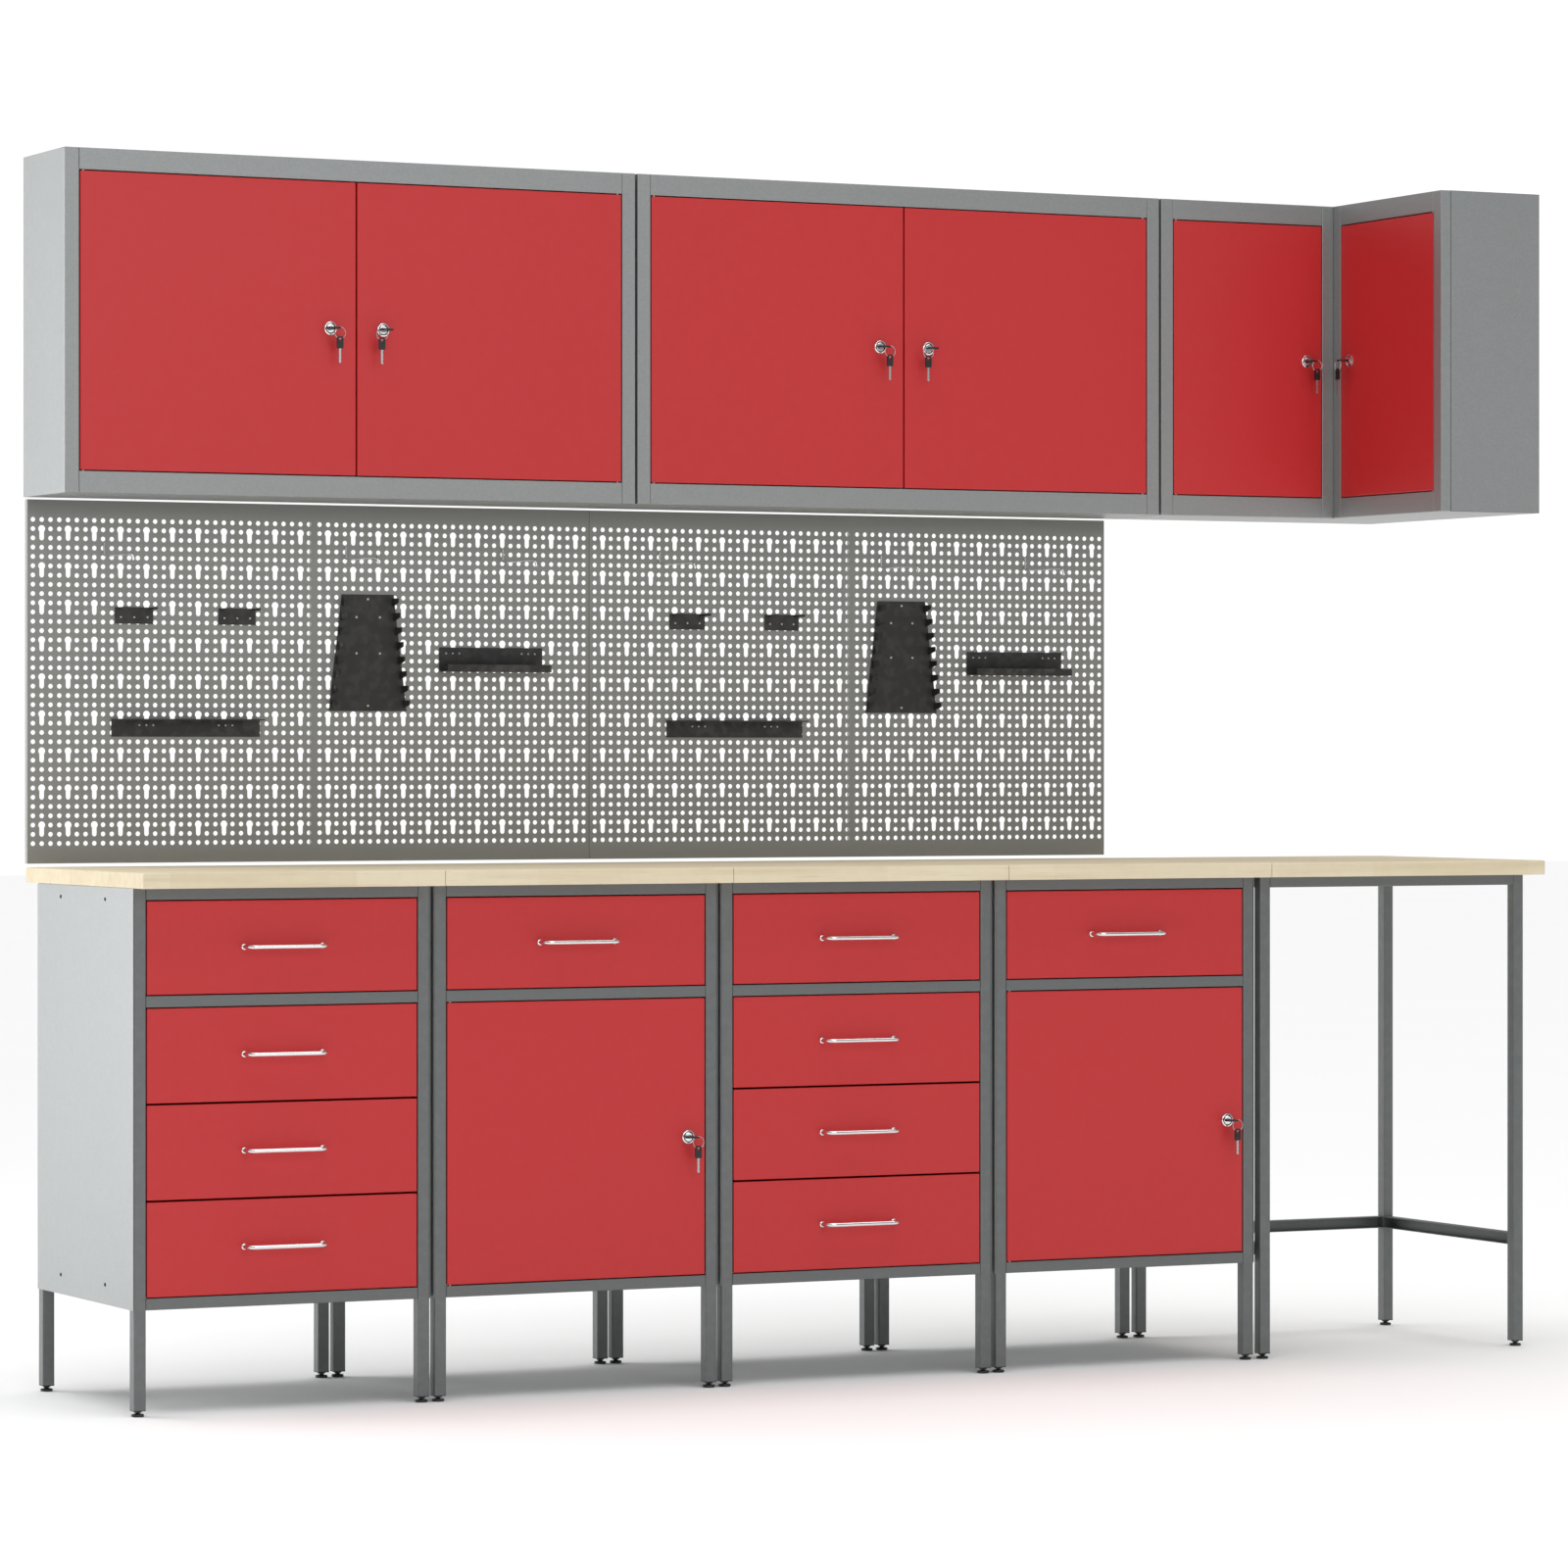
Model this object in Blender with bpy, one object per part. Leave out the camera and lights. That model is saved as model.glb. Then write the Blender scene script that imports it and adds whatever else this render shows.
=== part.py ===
"""Workshop wall set: a run of four base cabinets and an open table under separate worktop boards,
two perforated tool boards, two wall cabinets and an L-shaped corner wall cabinet.

Metres. +X right, +Y to the wall, +Z up. The origin is on the floor, at the middle of the whole set's box.
"""

import math

import bmesh
import bpy
from mathutils import Matrix, Vector

# Whole set
SET_WIDTH = 2.566
SET_DEPTH = 0.579
GAP = 0.0003                      # between pieces that rest on each other
SHEET = 0.001                     # panel steel

# Base cabinets and table
BENCH_SETBACK = 0.054             # worktop edge to the cabinets' front face
BENCH_DEPTH = 0.440
CABINET_WIDTH = 0.497
CABINET_PITCH = 0.503
TUBE = 0.020                      # square frame tube
TUBE_WALL = 0.0012
RAIL = 0.018
FOOT_TOP = 0.011
LEG_BOTTOM = 0.010
WELD = 0.0004                     # how far joined pieces run into each other
BODY_BOTTOM = 0.164
BODY_TOP = 0.815
MID_RAIL_TOP = 0.649
STRETCHER_BOTTOM = 0.175
TABLE_OFFSET = 2.018              # from the first cabinet's left side to the table frame
TABLE_WIDTH = 0.5285
FOOT_SIDES = 8

# Worktop boards
WORKTOP_OVERHANG = 0.003
WORKTOP_DEPTH = 0.545
WORKTOP_THICK = 0.025
END_BOARD_WIDTH = 0.547

# Drawers
FRONT_GAP = 0.0015
FRONT_THICK = 0.015
LOWER_DRAWERS = 3
DRAWER_DEPTH = 0.395              # tray behind the front
TRAY_RISE = 0.012                 # tray floor above the bay's bottom
TRAY_DROP = 0.026                 # tray rim below the bay's top
RUNNER_WIDTH = 0.0130
RUNNER_HEIGHT = 0.034
RUNNER_RISE = 0.045
RUNNER_LIP = 0.004
RUNNER_WEB = 0.0015
RUNNER_PLAY = 0.002
RUNNER_TAB = 0.003                # overlap on each leg
HANDLE_CENTRES = 0.131
HANDLE_RADIUS = 0.0036
HANDLE_REACH = 0.028
HANDLE_BEND = 0.014
HANDLE_BEND_STEPS = 4

# Doors and locks
DOOR_THICK = 0.015
DOOR_GAP = 0.0016
DOOR_MEETING_GAP = 0.0025
PIVOT_INSET = 0.006
PIVOT_DEPTH = 0.004
PIN_RADIUS = 0.002
PIN_HOLE_RADIUS = 0.0025
PIN_REACH = 0.007
LOCK_SIDES = 12
PIN_SIDES = 8
DRILL_LENGTH = 0.005
BEZEL_RADIUS = 0.011
BEZEL_RISE = 0.0025
BARREL_RADIUS = 0.009
BARREL_BORE = 0.0078
BARREL_LENGTH = 0.018
PLUG_RADIUS = 0.0072
CAM_DEPTH = 0.0208
CAM_THICK = 0.002
CAM_WIDTH = 0.012
CAM_LENGTH = 0.038
KEY_REACH = 0.023
KEY_BOW_WIDTH = 0.021
KEY_BOW_CORNER = 0.004
KEY_BOW_THICK = 0.0028
SIDE_LOCK_INSET = 0.030           # from a door edge that meets a stile or post
WALL_LOCK_INSET = 0.045
BASE_LOCK_HEIGHT = 0.406

# Wall cabinets
WALL_CABINET_WIDTH = 1.000
WALL_CABINET_PITCH = 1.004
WALL_CABINET_OFFSET = 0.005       # from the first base cabinet's left side
WALL_CABINET_DEPTH = 0.200
WALL_CABINET_BOTTOM = 1.4385
WALL_CABINET_HEIGHT = 0.550
WALL_STILE = 0.024
WALL_RAIL = 0.035
FACE_DEPTH = 0.020
CORNER_SIZE = 0.550
CORNER_POST = 0.023
STRIKE_WIDTH = 0.036              # upright bar behind the meeting doors, which their cams catch
STRIKE_DEPTHS = (0.0165, 0.0195)

# Perforated boards
BOARD_WIDTH = 0.9990
BOARD_PITCH = 0.9995
BOARD_OFFSET = 0.008
BOARD_BOTTOM = 0.845
BOARD_HEIGHT = 0.590
BOARD_DEPTH = 0.010
STIFFENER_WIDTH = 0.010

# Holders on each board: spans from the board's left edge, heights from the floor
PLATE = 0.002
HOOKS = (0.131, 0.555, 0.839)
HOOK_HEIGHT = 1.343
HOOK_WIRE = 0.0018
HOOK_REACH = 0.150
CLIPS = ((0.150, 0.216), (0.330, 0.395))
CLIP_HEIGHTS = (1.235, 1.262)
CLIP_REACH = 0.040
RACK_SPAN = (0.144, 0.402)
RACK_HEIGHTS = (1.051, 1.080)
TRAY_SPAN = (0.7235, 0.9116)
TRAY_HEIGHTS = (1.160, 1.201)
TRAY_REACH = 0.040
TRAY_LIP = 0.012
SPANNER_HEIGHTS = (1.094, 1.2875)
SPANNER_LOW = (0.525, 0.664)
SPANNER_HIGH = (0.548, 0.641)
RACK_REACH = 0.026
SPANNER_FINGERS = 8
SPANNER_REACH = 0.028

# Shelves
SHELF_THICK = 0.012
SHELF_SETBACK = 0.030
SHELF_PLAY = 0.001
BASE_SHELF_HEIGHT = 0.395

# Derived places
SET_LEFT = -SET_WIDTH / 2
WALL_Y = SET_DEPTH / 2
BENCH_LEFT = SET_LEFT + WORKTOP_OVERHANG
BENCH_FRONT = -SET_DEPTH / 2 + BENCH_SETBACK
BENCH_BACK = BENCH_FRONT + BENCH_DEPTH
WALL_CABINET_FRONT = WALL_Y - WALL_CABINET_DEPTH
BOARD_FACE = WALL_Y - BOARD_DEPTH
LOWER_BAY_BOTTOM = BODY_BOTTOM + RAIL
LOWER_BAY_TOP = MID_RAIL_TOP - RAIL
TOP_BAY_TOP = BODY_TOP - RAIL
WALL_CABINET_TOP = WALL_CABINET_BOTTOM + WALL_CABINET_HEIGHT
WALL_DOOR_BOTTOM = WALL_CABINET_BOTTOM + WALL_RAIL + DOOR_GAP
WALL_DOOR_HEIGHT = WALL_CABINET_HEIGHT - 2 * (WALL_RAIL + DOOR_GAP)
WALL_LOCK_HEIGHT = WALL_CABINET_BOTTOM + WALL_CABINET_HEIGHT / 2

# (colour, metallic, roughness)
FINISHES = {
    "frame_paint": ((0.19, 0.20, 0.20), 0.0, 0.45),
    "panel_paint": ((0.55, 0.56, 0.56), 0.0, 0.50),
    "red_paint": ((0.52, 0.045, 0.045), 0.0, 0.45),
    "board_paint": ((0.16, 0.165, 0.155), 0.0, 0.55),
    "worktop_wood": ((0.72, 0.60, 0.42), 0.0, 0.60),
    "chrome": ((0.75, 0.75, 0.76), 1.0, 0.15),
    "steel": ((0.55, 0.55, 0.56), 1.0, 0.35),
    "black_plastic": ((0.015, 0.015, 0.015), 0.0, 0.50),
    "black_paint": ((0.025, 0.026, 0.025), 0.0, 0.45),
}


def clear_scene():
    for obj in list(bpy.data.objects):
        bpy.data.objects.remove(obj, do_unlink=True)


def material(name, finish):
    colour, metallic, roughness = FINISHES[finish]
    made = bpy.data.materials.new(name)
    made.use_nodes = True
    shader = made.node_tree.nodes["Principled BSDF"]
    shader.inputs["Base Color"].default_value = (*colour, 1.0)
    shader.inputs["Metallic"].default_value = metallic
    shader.inputs["Roughness"].default_value = roughness
    return made


def new_box(low, high):
    low, high = Vector(low), Vector(high)
    place = Matrix.Translation((low + high) / 2) @ Matrix.Diagonal((*(high - low), 1.0))
    bm = bmesh.new()
    bmesh.ops.create_cube(bm, size=1.0, matrix=place)
    return bm


def add_box(pieces, low, high):
    """A solid box between two corners."""
    pieces.append(new_box(low, high))


def add_pan(pieces, low, high, direction, wall=SHEET):
    """A folded sheet pan: a box whose pocket opens towards direction, such as (0, 1, 0)."""
    bm = new_box(low, high)
    towards = Vector(direction)
    bm.normal_update()
    mouth = max(bm.faces, key=lambda face: face.normal.dot(towards))
    bmesh.ops.inset_individual(bm, faces=[mouth], thickness=wall)
    depth = abs((Vector(high) - Vector(low)).dot(towards)) - wall
    extruded = bmesh.ops.extrude_discrete_faces(bm, faces=[mouth])["faces"]
    bmesh.ops.translate(bm, verts=extruded[0].verts, vec=-towards * depth)
    pieces.append(bm)


def add_tube(pieces, low, high, wall=TUBE_WALL):
    """An upright square tube, open at both ends."""
    inner_low = (low[0] + wall, low[1] + wall)
    inner_high = (high[0] - wall, high[1] - wall)
    bm = bmesh.new()

    def ring(first, last, z):
        corners = ((first[0], first[1]), (last[0], first[1]), (last[0], last[1]), (first[0], last[1]))
        return [bm.verts.new((x, y, z)) for x, y in corners]

    rings = [ring(low, high, low[2]), ring(low, high, high[2]),
             ring(inner_low, inner_high, high[2]), ring(inner_low, inner_high, low[2])]
    skin_rings(bm, rings, around=True)
    pieces.append(bm)


def skin_rings(bm, rings, around=False):
    """Faces between one ring of points and the next; a ring of one point closes an end."""
    pairs = list(zip(rings, rings[1:]))
    if around:
        pairs.append((rings[-1], rings[0]))
    for lower, upper in pairs:
        sides = max(len(lower), len(upper))
        for step in range(sides):
            after = (step + 1) % sides
            if len(lower) == 1:
                bm.faces.new((lower[0], upper[after], upper[step]))
            elif len(upper) == 1:
                bm.faces.new((lower[step], lower[after], upper[0]))
            else:
                bm.faces.new((lower[step], lower[after], upper[after], upper[step]))


def circle(bm, centre, across, up, radius, sides):
    """A ring of points round a centre, in the plane of two unit directions."""
    angles = [2 * math.pi * (step + 0.5) / sides for step in range(sides)]
    return [bm.verts.new(centre + (across * math.cos(angle) + up * math.sin(angle)) * radius)
            for angle in angles]


def add_turned(pieces, profile, place, sides):
    """A turned solid: profile is (radius, height) from one end to the other, round the local Z axis."""
    bm = bmesh.new()
    across, up = place.to_3x3() @ Vector((1, 0, 0)), place.to_3x3() @ Vector((0, 1, 0))
    rings = []
    for radius, height in profile:
        centre = place @ Vector((0, 0, height))
        rings.append(circle(bm, centre, across, up, radius, sides) if radius else [bm.verts.new(centre)])
    skin_rings(bm, rings)
    pieces.append(bm)


def add_rod(pieces, points, radius, sides=8):
    """A round rod along a line of points, with flat ends."""
    bm = bmesh.new()
    rings = []
    across = None
    for index, point in enumerate(points):
        ahead = points[min(index + 1, len(points) - 1)]
        along = (ahead - points[max(index - 1, 0)]).normalized()
        if across is None:
            across = along.cross(Vector((0, 0, 1)) if abs(along.z) < 0.9 else Vector((1, 0, 0)))
        across = (across - along * across.dot(along)).normalized()
        rings.append(circle(bm, point, across, along.cross(across), radius, sides))
    skin_rings(bm, rings)
    bm.faces.new(list(reversed(rings[0])))
    bm.faces.new(rings[-1])
    pieces.append(bm)


def add_prism(pieces, outline, axis, start, end):
    """An outline of (u, v) points pushed from start to end along an axis, u and v being the next two."""
    u, v = (axis + 1) % 3, (axis + 2) % 3
    bm = bmesh.new()

    def ring(at):
        made = []
        for first, second in outline:
            point = [0.0, 0.0, 0.0]
            point[axis], point[u], point[v] = at, first, second
            made.append(bm.verts.new(point))
        return made

    low, high = ring(start), ring(end)
    skin_rings(bm, [low, high])
    bm.faces.new(list(reversed(low)))
    bm.faces.new(high)
    pieces.append(bm)


def mesh_from(bm, name, origin=(0, 0, 0)):
    bmesh.ops.recalc_face_normals(bm, faces=bm.faces)
    bmesh.ops.translate(bm, verts=bm.verts, vec=-Vector(origin))
    mesh = bpy.data.meshes.new(name)
    bm.to_mesh(mesh)
    bm.free()
    return mesh


def helper(name, mesh, collection):
    """An object that only takes part in a Boolean."""
    obj = bpy.data.objects.new(name, mesh)
    obj.hide_render = True
    obj.display_type = "WIRE"
    collection.objects.link(obj)
    return obj


def make_node(name, pieces, finish, origin=(0, 0, 0), smooth=False):
    """One named solid, the union of closed pieces in world places, with its own origin and material."""
    obj = bpy.data.objects.new(name, mesh_from(pieces[0], name, origin))
    obj.location = origin
    obj.data.materials.append(material(name, finish))
    bpy.context.scene.collection.objects.link(obj)
    if len(pieces) > 1:
        joined = bpy.data.collections.new(name + ".pieces")
        bpy.context.scene.collection.children.link(joined)
        for number, piece in enumerate(pieces[1:]):
            piece_name = f"{name}.piece_{number}"
            helper(piece_name, mesh_from(piece, piece_name), joined)
        union = obj.modifiers.new("weld", "BOOLEAN")
        union.operation = "UNION"
        union.solver = "EXACT"
        union.operand_type = "COLLECTION"
        union.collection = joined
    if smooth:
        obj.data.shade_smooth()
        obj.data.set_sharp_from_angle(angle=math.radians(35))
    return obj


def cut_holes(obj, holes):
    """Round holes through a node: each is (centre, axis, radius, length), cut together."""
    bms = []
    for centre, axis, radius, length in holes:
        turn = Vector((0, 0, 1)).rotation_difference(Vector(axis)).to_matrix().to_4x4()
        profile = [(0, -length / 2), (radius, -length / 2), (radius, length / 2), (0, length / 2)]
        add_turned(bms, profile, Matrix.Translation(centre) @ turn, LOCK_SIDES)
    drills = bpy.data.collections.new(obj.name + ".drills")
    bpy.context.scene.collection.children.link(drills)
    for number, bm in enumerate(bms):
        name = f"{obj.name}.drill_{number}"
        helper(name, mesh_from(bm, name), drills)
    cut = obj.modifiers.new("holes", "BOOLEAN")
    cut.operation = "DIFFERENCE"
    cut.solver = "EXACT"
    cut.operand_type = "COLLECTION"
    cut.collection = drills


def cabinet_left(index):
    return BENCH_LEFT + index * CABINET_PITCH


# ---- base cabinets -------------------------------------------------------------------------------

FOUR_DRAWER_CABINETS = (0, 2)
DOOR_CABINETS = (1, 3)
ALL_ROUND = ("front", "back", "left", "right")


def frame_span(index):
    """Outer left and right faces of a base cabinet's frame, inside its side panels."""
    left = cabinet_left(index) + SHEET + GAP
    return left, cabinet_left(index) + CABINET_WIDTH - SHEET - GAP


def bay_span(index):
    """Left and right faces of a base cabinet's front opening."""
    left, right = frame_span(index)
    return left + TUBE, right - TUBE


def add_legs(pieces, left, right):
    """Four square legs, each on a screw foot: round pad, thin stem and the insert's flange."""
    foot = [(0, 0), (0.0100, 0), (0.0100, 0.0040), (0.0045, 0.0055), (0.0045, 0.0087),
            (0.0098, 0.0087), (0.0098, FOOT_TOP), (0, FOOT_TOP)]
    for x in (left, right - TUBE):
        for y in (BENCH_FRONT, BENCH_BACK - TUBE):
            add_tube(pieces, (x, y, LEG_BOTTOM), (x + TUBE, y + TUBE, BODY_TOP))
            add_turned(pieces, foot, Matrix.Translation((x + TUBE / 2, y + TUBE / 2, 0)), FOOT_SIDES)


def add_cross_rails(pieces, left, right, sides, low, high):
    """Channel rails between the legs at one height, each open towards the inside of the frame."""
    ends_x = (left + TUBE - WELD, right - TUBE + WELD)
    ends_y = (BENCH_FRONT + TUBE - WELD, BENCH_BACK - TUBE + WELD)
    for side in sides:
        if side in ("front", "back"):
            y = BENCH_FRONT if side == "front" else BENCH_BACK - TUBE
            inward = (0, 1, 0) if side == "front" else (0, -1, 0)
            add_pan(pieces, (ends_x[0], y, low), (ends_x[1], y + TUBE, high), inward, TUBE_WALL)
        else:
            x = left if side == "left" else right - TUBE
            inward = (1, 0, 0) if side == "left" else (-1, 0, 0)
            add_pan(pieces, (x, ends_y[0], low), (x + TUBE, ends_y[1], high), inward, TUBE_WALL)


def drawer_bays(index):
    """(low, high) of each drawer front's place, top one first."""
    bays = [(MID_RAIL_TOP, TOP_BAY_TOP)]
    if index in FOUR_DRAWER_CABINETS:
        pitch = (LOWER_BAY_TOP - LOWER_BAY_BOTTOM) / LOWER_DRAWERS
        for row in range(LOWER_DRAWERS):
            high = LOWER_BAY_TOP - row * pitch
            bays.append((high - pitch, high))
    return bays


def add_runners(pieces, index):
    """The runners' outer channels, fixed between the front and back legs beside each drawer."""
    deep = RUNNER_WIDTH - 0.002
    start, end = BENCH_FRONT + TUBE - RUNNER_TAB, BENCH_BACK - TUBE + RUNNER_TAB
    left, right = bay_span(index)
    for low, _ in drawer_bays(index):
        z = low + RUNNER_RISE
        for wall, inward in ((left - WELD, 1), (right + WELD, -1)):
            outline = [(0, 0), (deep, 0), (deep, RUNNER_LIP), (RUNNER_WEB, RUNNER_LIP),
                       (RUNNER_WEB, RUNNER_HEIGHT - RUNNER_LIP), (deep, RUNNER_HEIGHT - RUNNER_LIP),
                       (deep, RUNNER_HEIGHT), (0, RUNNER_HEIGHT)]
            section = [(z + up, wall + inward * out) for out, up in outline]
            add_prism(pieces, section, 1, start, end)


def make_cabinet_frame(index):
    left, right = frame_span(index)
    pieces = []
    add_legs(pieces, left, right)
    add_cross_rails(pieces, left, right, ALL_ROUND, BODY_BOTTOM, LOWER_BAY_BOTTOM)
    add_cross_rails(pieces, left, right, ("front",), LOWER_BAY_TOP, MID_RAIL_TOP)
    add_cross_rails(pieces, left, right, ALL_ROUND, TOP_BAY_TOP, BODY_TOP)
    add_runners(pieces, index)
    node = make_node(f"cabinet_{index + 1}_frame", pieces, "frame_paint")
    if index in DOOR_CABINETS:
        x = bay_span(index)[0] + DOOR_GAP + PIVOT_INSET
        y = BENCH_FRONT + PIVOT_DEPTH
        cut_holes(node, [((x, y, z), (0, 0, 1), PIN_HOLE_RADIUS, DRILL_LENGTH)
                         for z in (LOWER_BAY_BOTTOM, LOWER_BAY_TOP)])


def make_cabinet_shell(index):
    """Side, back and floor panels round the frame, folded from sheet."""
    left = cabinet_left(index)
    right = left + CABINET_WIDTH
    low, high = BODY_BOTTOM, BODY_TOP
    back = BENCH_BACK + GAP
    floor = LOWER_BAY_BOTTOM + GAP
    pieces = []
    add_box(pieces, (left, BENCH_FRONT, low), (left + SHEET, back + SHEET, high))
    add_box(pieces, (right - SHEET, BENCH_FRONT, low), (right, back + SHEET, high))
    add_box(pieces, (left, back, low), (right, back + SHEET, high))
    add_box(pieces, (left + WELD, BENCH_FRONT + TUBE + GAP, floor),
            (right - WELD, BENCH_BACK - TUBE - GAP, floor + SHEET))
    make_node(f"cabinet_{index + 1}_shell", pieces, "panel_paint")


def make_table_frame():
    left = BENCH_LEFT + TABLE_OFFSET
    right = left + TABLE_WIDTH
    pieces = []
    add_legs(pieces, left, right)
    add_cross_rails(pieces, left, right, ALL_ROUND, TOP_BAY_TOP, BODY_TOP)
    add_cross_rails(pieces, left, right, ("back", "left", "right"),
                    STRETCHER_BOTTOM, STRETCHER_BOTTOM + TUBE)
    make_node("table_frame", pieces, "frame_paint")


def make_worktops():
    for index in range(5):
        left = SET_LEFT + index * CABINET_PITCH
        right = left + (CABINET_PITCH - GAP if index < 4 else END_BOARD_WIDTH)
        pieces = []
        add_box(pieces, (left, -SET_DEPTH / 2, BODY_TOP + GAP),
                (right, -SET_DEPTH / 2 + WORKTOP_DEPTH, BODY_TOP + WORKTOP_THICK))
        make_node(f"worktop_{index + 1}", pieces, "worktop_wood")


# ---- drawers -------------------------------------------------------------------------------------

def make_drawer(name, span, low, high):
    """A steel tray behind a folded front, with the runners' inner members on its sides."""
    left, right = span
    pieces = []
    add_pan(pieces, (left + FRONT_GAP, BENCH_FRONT, low + FRONT_GAP),
            (right - FRONT_GAP, BENCH_FRONT + FRONT_THICK, high - FRONT_GAP), (0, 1, 0))
    tray_left, tray_right = left + RUNNER_WIDTH, right - RUNNER_WIDTH
    front = BENCH_FRONT + SHEET - WELD
    back = BENCH_FRONT + FRONT_THICK + DRAWER_DEPTH
    floor = low + TRAY_RISE
    rim = high - TRAY_DROP
    add_box(pieces, (tray_left, front, floor), (tray_right, back, floor + SHEET))
    add_box(pieces, (tray_left, front, floor), (tray_left + SHEET, back, rim))
    add_box(pieces, (tray_right - SHEET, front, floor), (tray_right, back, rim))
    add_box(pieces, (tray_left, back - SHEET, floor), (tray_right, back, rim))
    member_low = low + RUNNER_RISE + RUNNER_LIP + RUNNER_PLAY
    member_high = low + RUNNER_RISE + RUNNER_HEIGHT - RUNNER_LIP - RUNNER_PLAY
    reach = RUNNER_WIDTH - RUNNER_WEB - 0.002
    start, end = BENCH_FRONT + TUBE, back - 0.010
    add_box(pieces, (tray_left - reach, start, member_low), (tray_left + WELD, end, member_high))
    add_box(pieces, (tray_right - WELD, start, member_low), (tray_right + reach, end, member_high))
    make_node(name, pieces, "red_paint",
              origin=((left + right) / 2, BENCH_FRONT, (low + high) / 2))


def make_handle(name, centre):
    """A round bow handle, bent at both ends to meet the drawer front."""
    x, y, z = centre
    half = HANDLE_CENTRES / 2
    outer = y - HANDLE_REACH + HANDLE_RADIUS
    path = [Vector((x - half, y - GAP, z))]
    for step in range(HANDLE_BEND_STEPS + 1):
        angle = math.pi / 2 * step / HANDLE_BEND_STEPS
        path.append(Vector((x - half + HANDLE_BEND * (1 - math.cos(angle)),
                            outer + HANDLE_BEND * (1 - math.sin(angle)), z)))
    path += [Vector((2 * x - point.x, point.y, z)) for point in reversed(path)]
    pieces = []
    add_rod(pieces, path, HANDLE_RADIUS)
    make_node(name, pieces, "chrome", origin=(x, y, z), smooth=True)


def make_drawers():
    for index in range(4):
        span = bay_span(index)
        for row, (low, high) in enumerate(drawer_bays(index)):
            name = f"cabinet_{index + 1}_drawer_{row + 1}"
            make_drawer(name, span, low, high)
            make_handle(name + "_handle", (sum(span) / 2, BENCH_FRONT, (low + high) / 2))


# ---- doors and locks -----------------------------------------------------------------------------

def door_place(corner, facing):
    """A frame at a door's lower left corner: local X runs right and Y inward, for someone facing it."""
    angle = 0 if facing == "front" else -math.pi / 2
    return Matrix.Translation(corner) @ Matrix.Rotation(angle, 4, "Z")


def move_pieces(pieces, place):
    for bm in pieces:
        bmesh.ops.transform(bm, matrix=place, verts=bm.verts)


def make_door(name, place, width, height, hinge, lock_inset, lock_height):
    """An inset pan door with its pivot pins and its lock's barrel, and the lock that turns in it.

    hinge is left or right, seen from outside; place is the door's lower left corner.
    """
    pivot_x = PIVOT_INSET if hinge == "left" else width - PIVOT_INSET
    lock_x = width - lock_inset if hinge == "left" else lock_inset
    pieces = []
    add_pan(pieces, (0, 0, 0), (width, DOOR_THICK, height), (0, 1, 0))
    for start, end in ((-PIN_REACH, WELD), (height - WELD, height + PIN_REACH)):
        pin = [(0, start), (PIN_RADIUS, start), (PIN_RADIUS, end), (0, end)]
        add_turned(pieces, pin, Matrix.Translation((pivot_x, PIVOT_DEPTH, 0)), PIN_SIDES)
    lock_place = Matrix.Translation((lock_x, 0, lock_height))
    inward = lock_place @ Matrix.Rotation(-math.pi / 2, 4, "X")
    barrel = [(0, -BEZEL_RISE), (BEZEL_RADIUS - 0.0012, -BEZEL_RISE),
              (BEZEL_RADIUS, -BEZEL_RISE + 0.0012), (BEZEL_RADIUS, WELD), (BARREL_RADIUS, WELD),
              (BARREL_RADIUS, BARREL_LENGTH), (0, BARREL_LENGTH)]
    add_turned(pieces, barrel, inward, LOCK_SIDES)
    move_pieces(pieces, place)
    door = make_node(name, pieces, "red_paint", origin=place @ Vector((pivot_x, PIVOT_DEPTH, 0)))
    bore_centre = place @ Vector((lock_x, BARREL_LENGTH / 2, lock_height))
    cut_holes(door, [(bore_centre, place.to_3x3() @ Vector((0, 1, 0)), BARREL_BORE,
                      2 * BARREL_LENGTH)])
    make_lock(name.replace("_door", "_lock"), place @ lock_place)


def make_lock(name, place):
    """The turning part of a lock: plug, cam behind the door and the key that stands in it."""
    face = -BEZEL_RISE - 0.0005
    plug = [(0, face), (PLUG_RADIUS, face), (PLUG_RADIUS, CAM_DEPTH + WELD), (0, CAM_DEPTH + WELD)]
    pieces = []
    add_turned(pieces, plug, Matrix.Rotation(-math.pi / 2, 4, "X"), LOCK_SIDES)
    half = CAM_WIDTH / 2
    add_box(pieces, (-half, CAM_DEPTH, -half), (half, CAM_DEPTH + CAM_THICK, CAM_LENGTH))
    shoulder = face - 0.0035
    add_box(pieces, (-0.0042, shoulder - WELD, -0.0011), (0.0042, face + WELD, 0.0011))
    bow, cut = KEY_BOW_WIDTH / 2, KEY_BOW_CORNER
    outline = [(-bow + cut, shoulder), (-bow, shoulder - cut), (-bow, -KEY_REACH + cut),
               (-bow + cut, -KEY_REACH), (bow - cut, -KEY_REACH), (bow, -KEY_REACH + cut),
               (bow, shoulder - cut), (bow - cut, shoulder)]
    add_prism(pieces, outline, 2, -KEY_BOW_THICK / 2, KEY_BOW_THICK / 2)
    move_pieces(pieces, place)
    make_node(name, pieces, "chrome", origin=place.translation, smooth=True)


def make_base_doors():
    for index in DOOR_CABINETS:
        left, right = bay_span(index)
        corner = (left + DOOR_GAP, BENCH_FRONT, LOWER_BAY_BOTTOM + DOOR_GAP)
        height = LOWER_BAY_TOP - LOWER_BAY_BOTTOM - 2 * DOOR_GAP
        make_door(f"cabinet_{index + 1}_door", door_place(corner, "front"),
                  right - left - 2 * DOOR_GAP, height, "left", SIDE_LOCK_INSET,
                  BASE_LOCK_HEIGHT - corner[2])


# ---- wall cabinets -------------------------------------------------------------------------------

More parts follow.
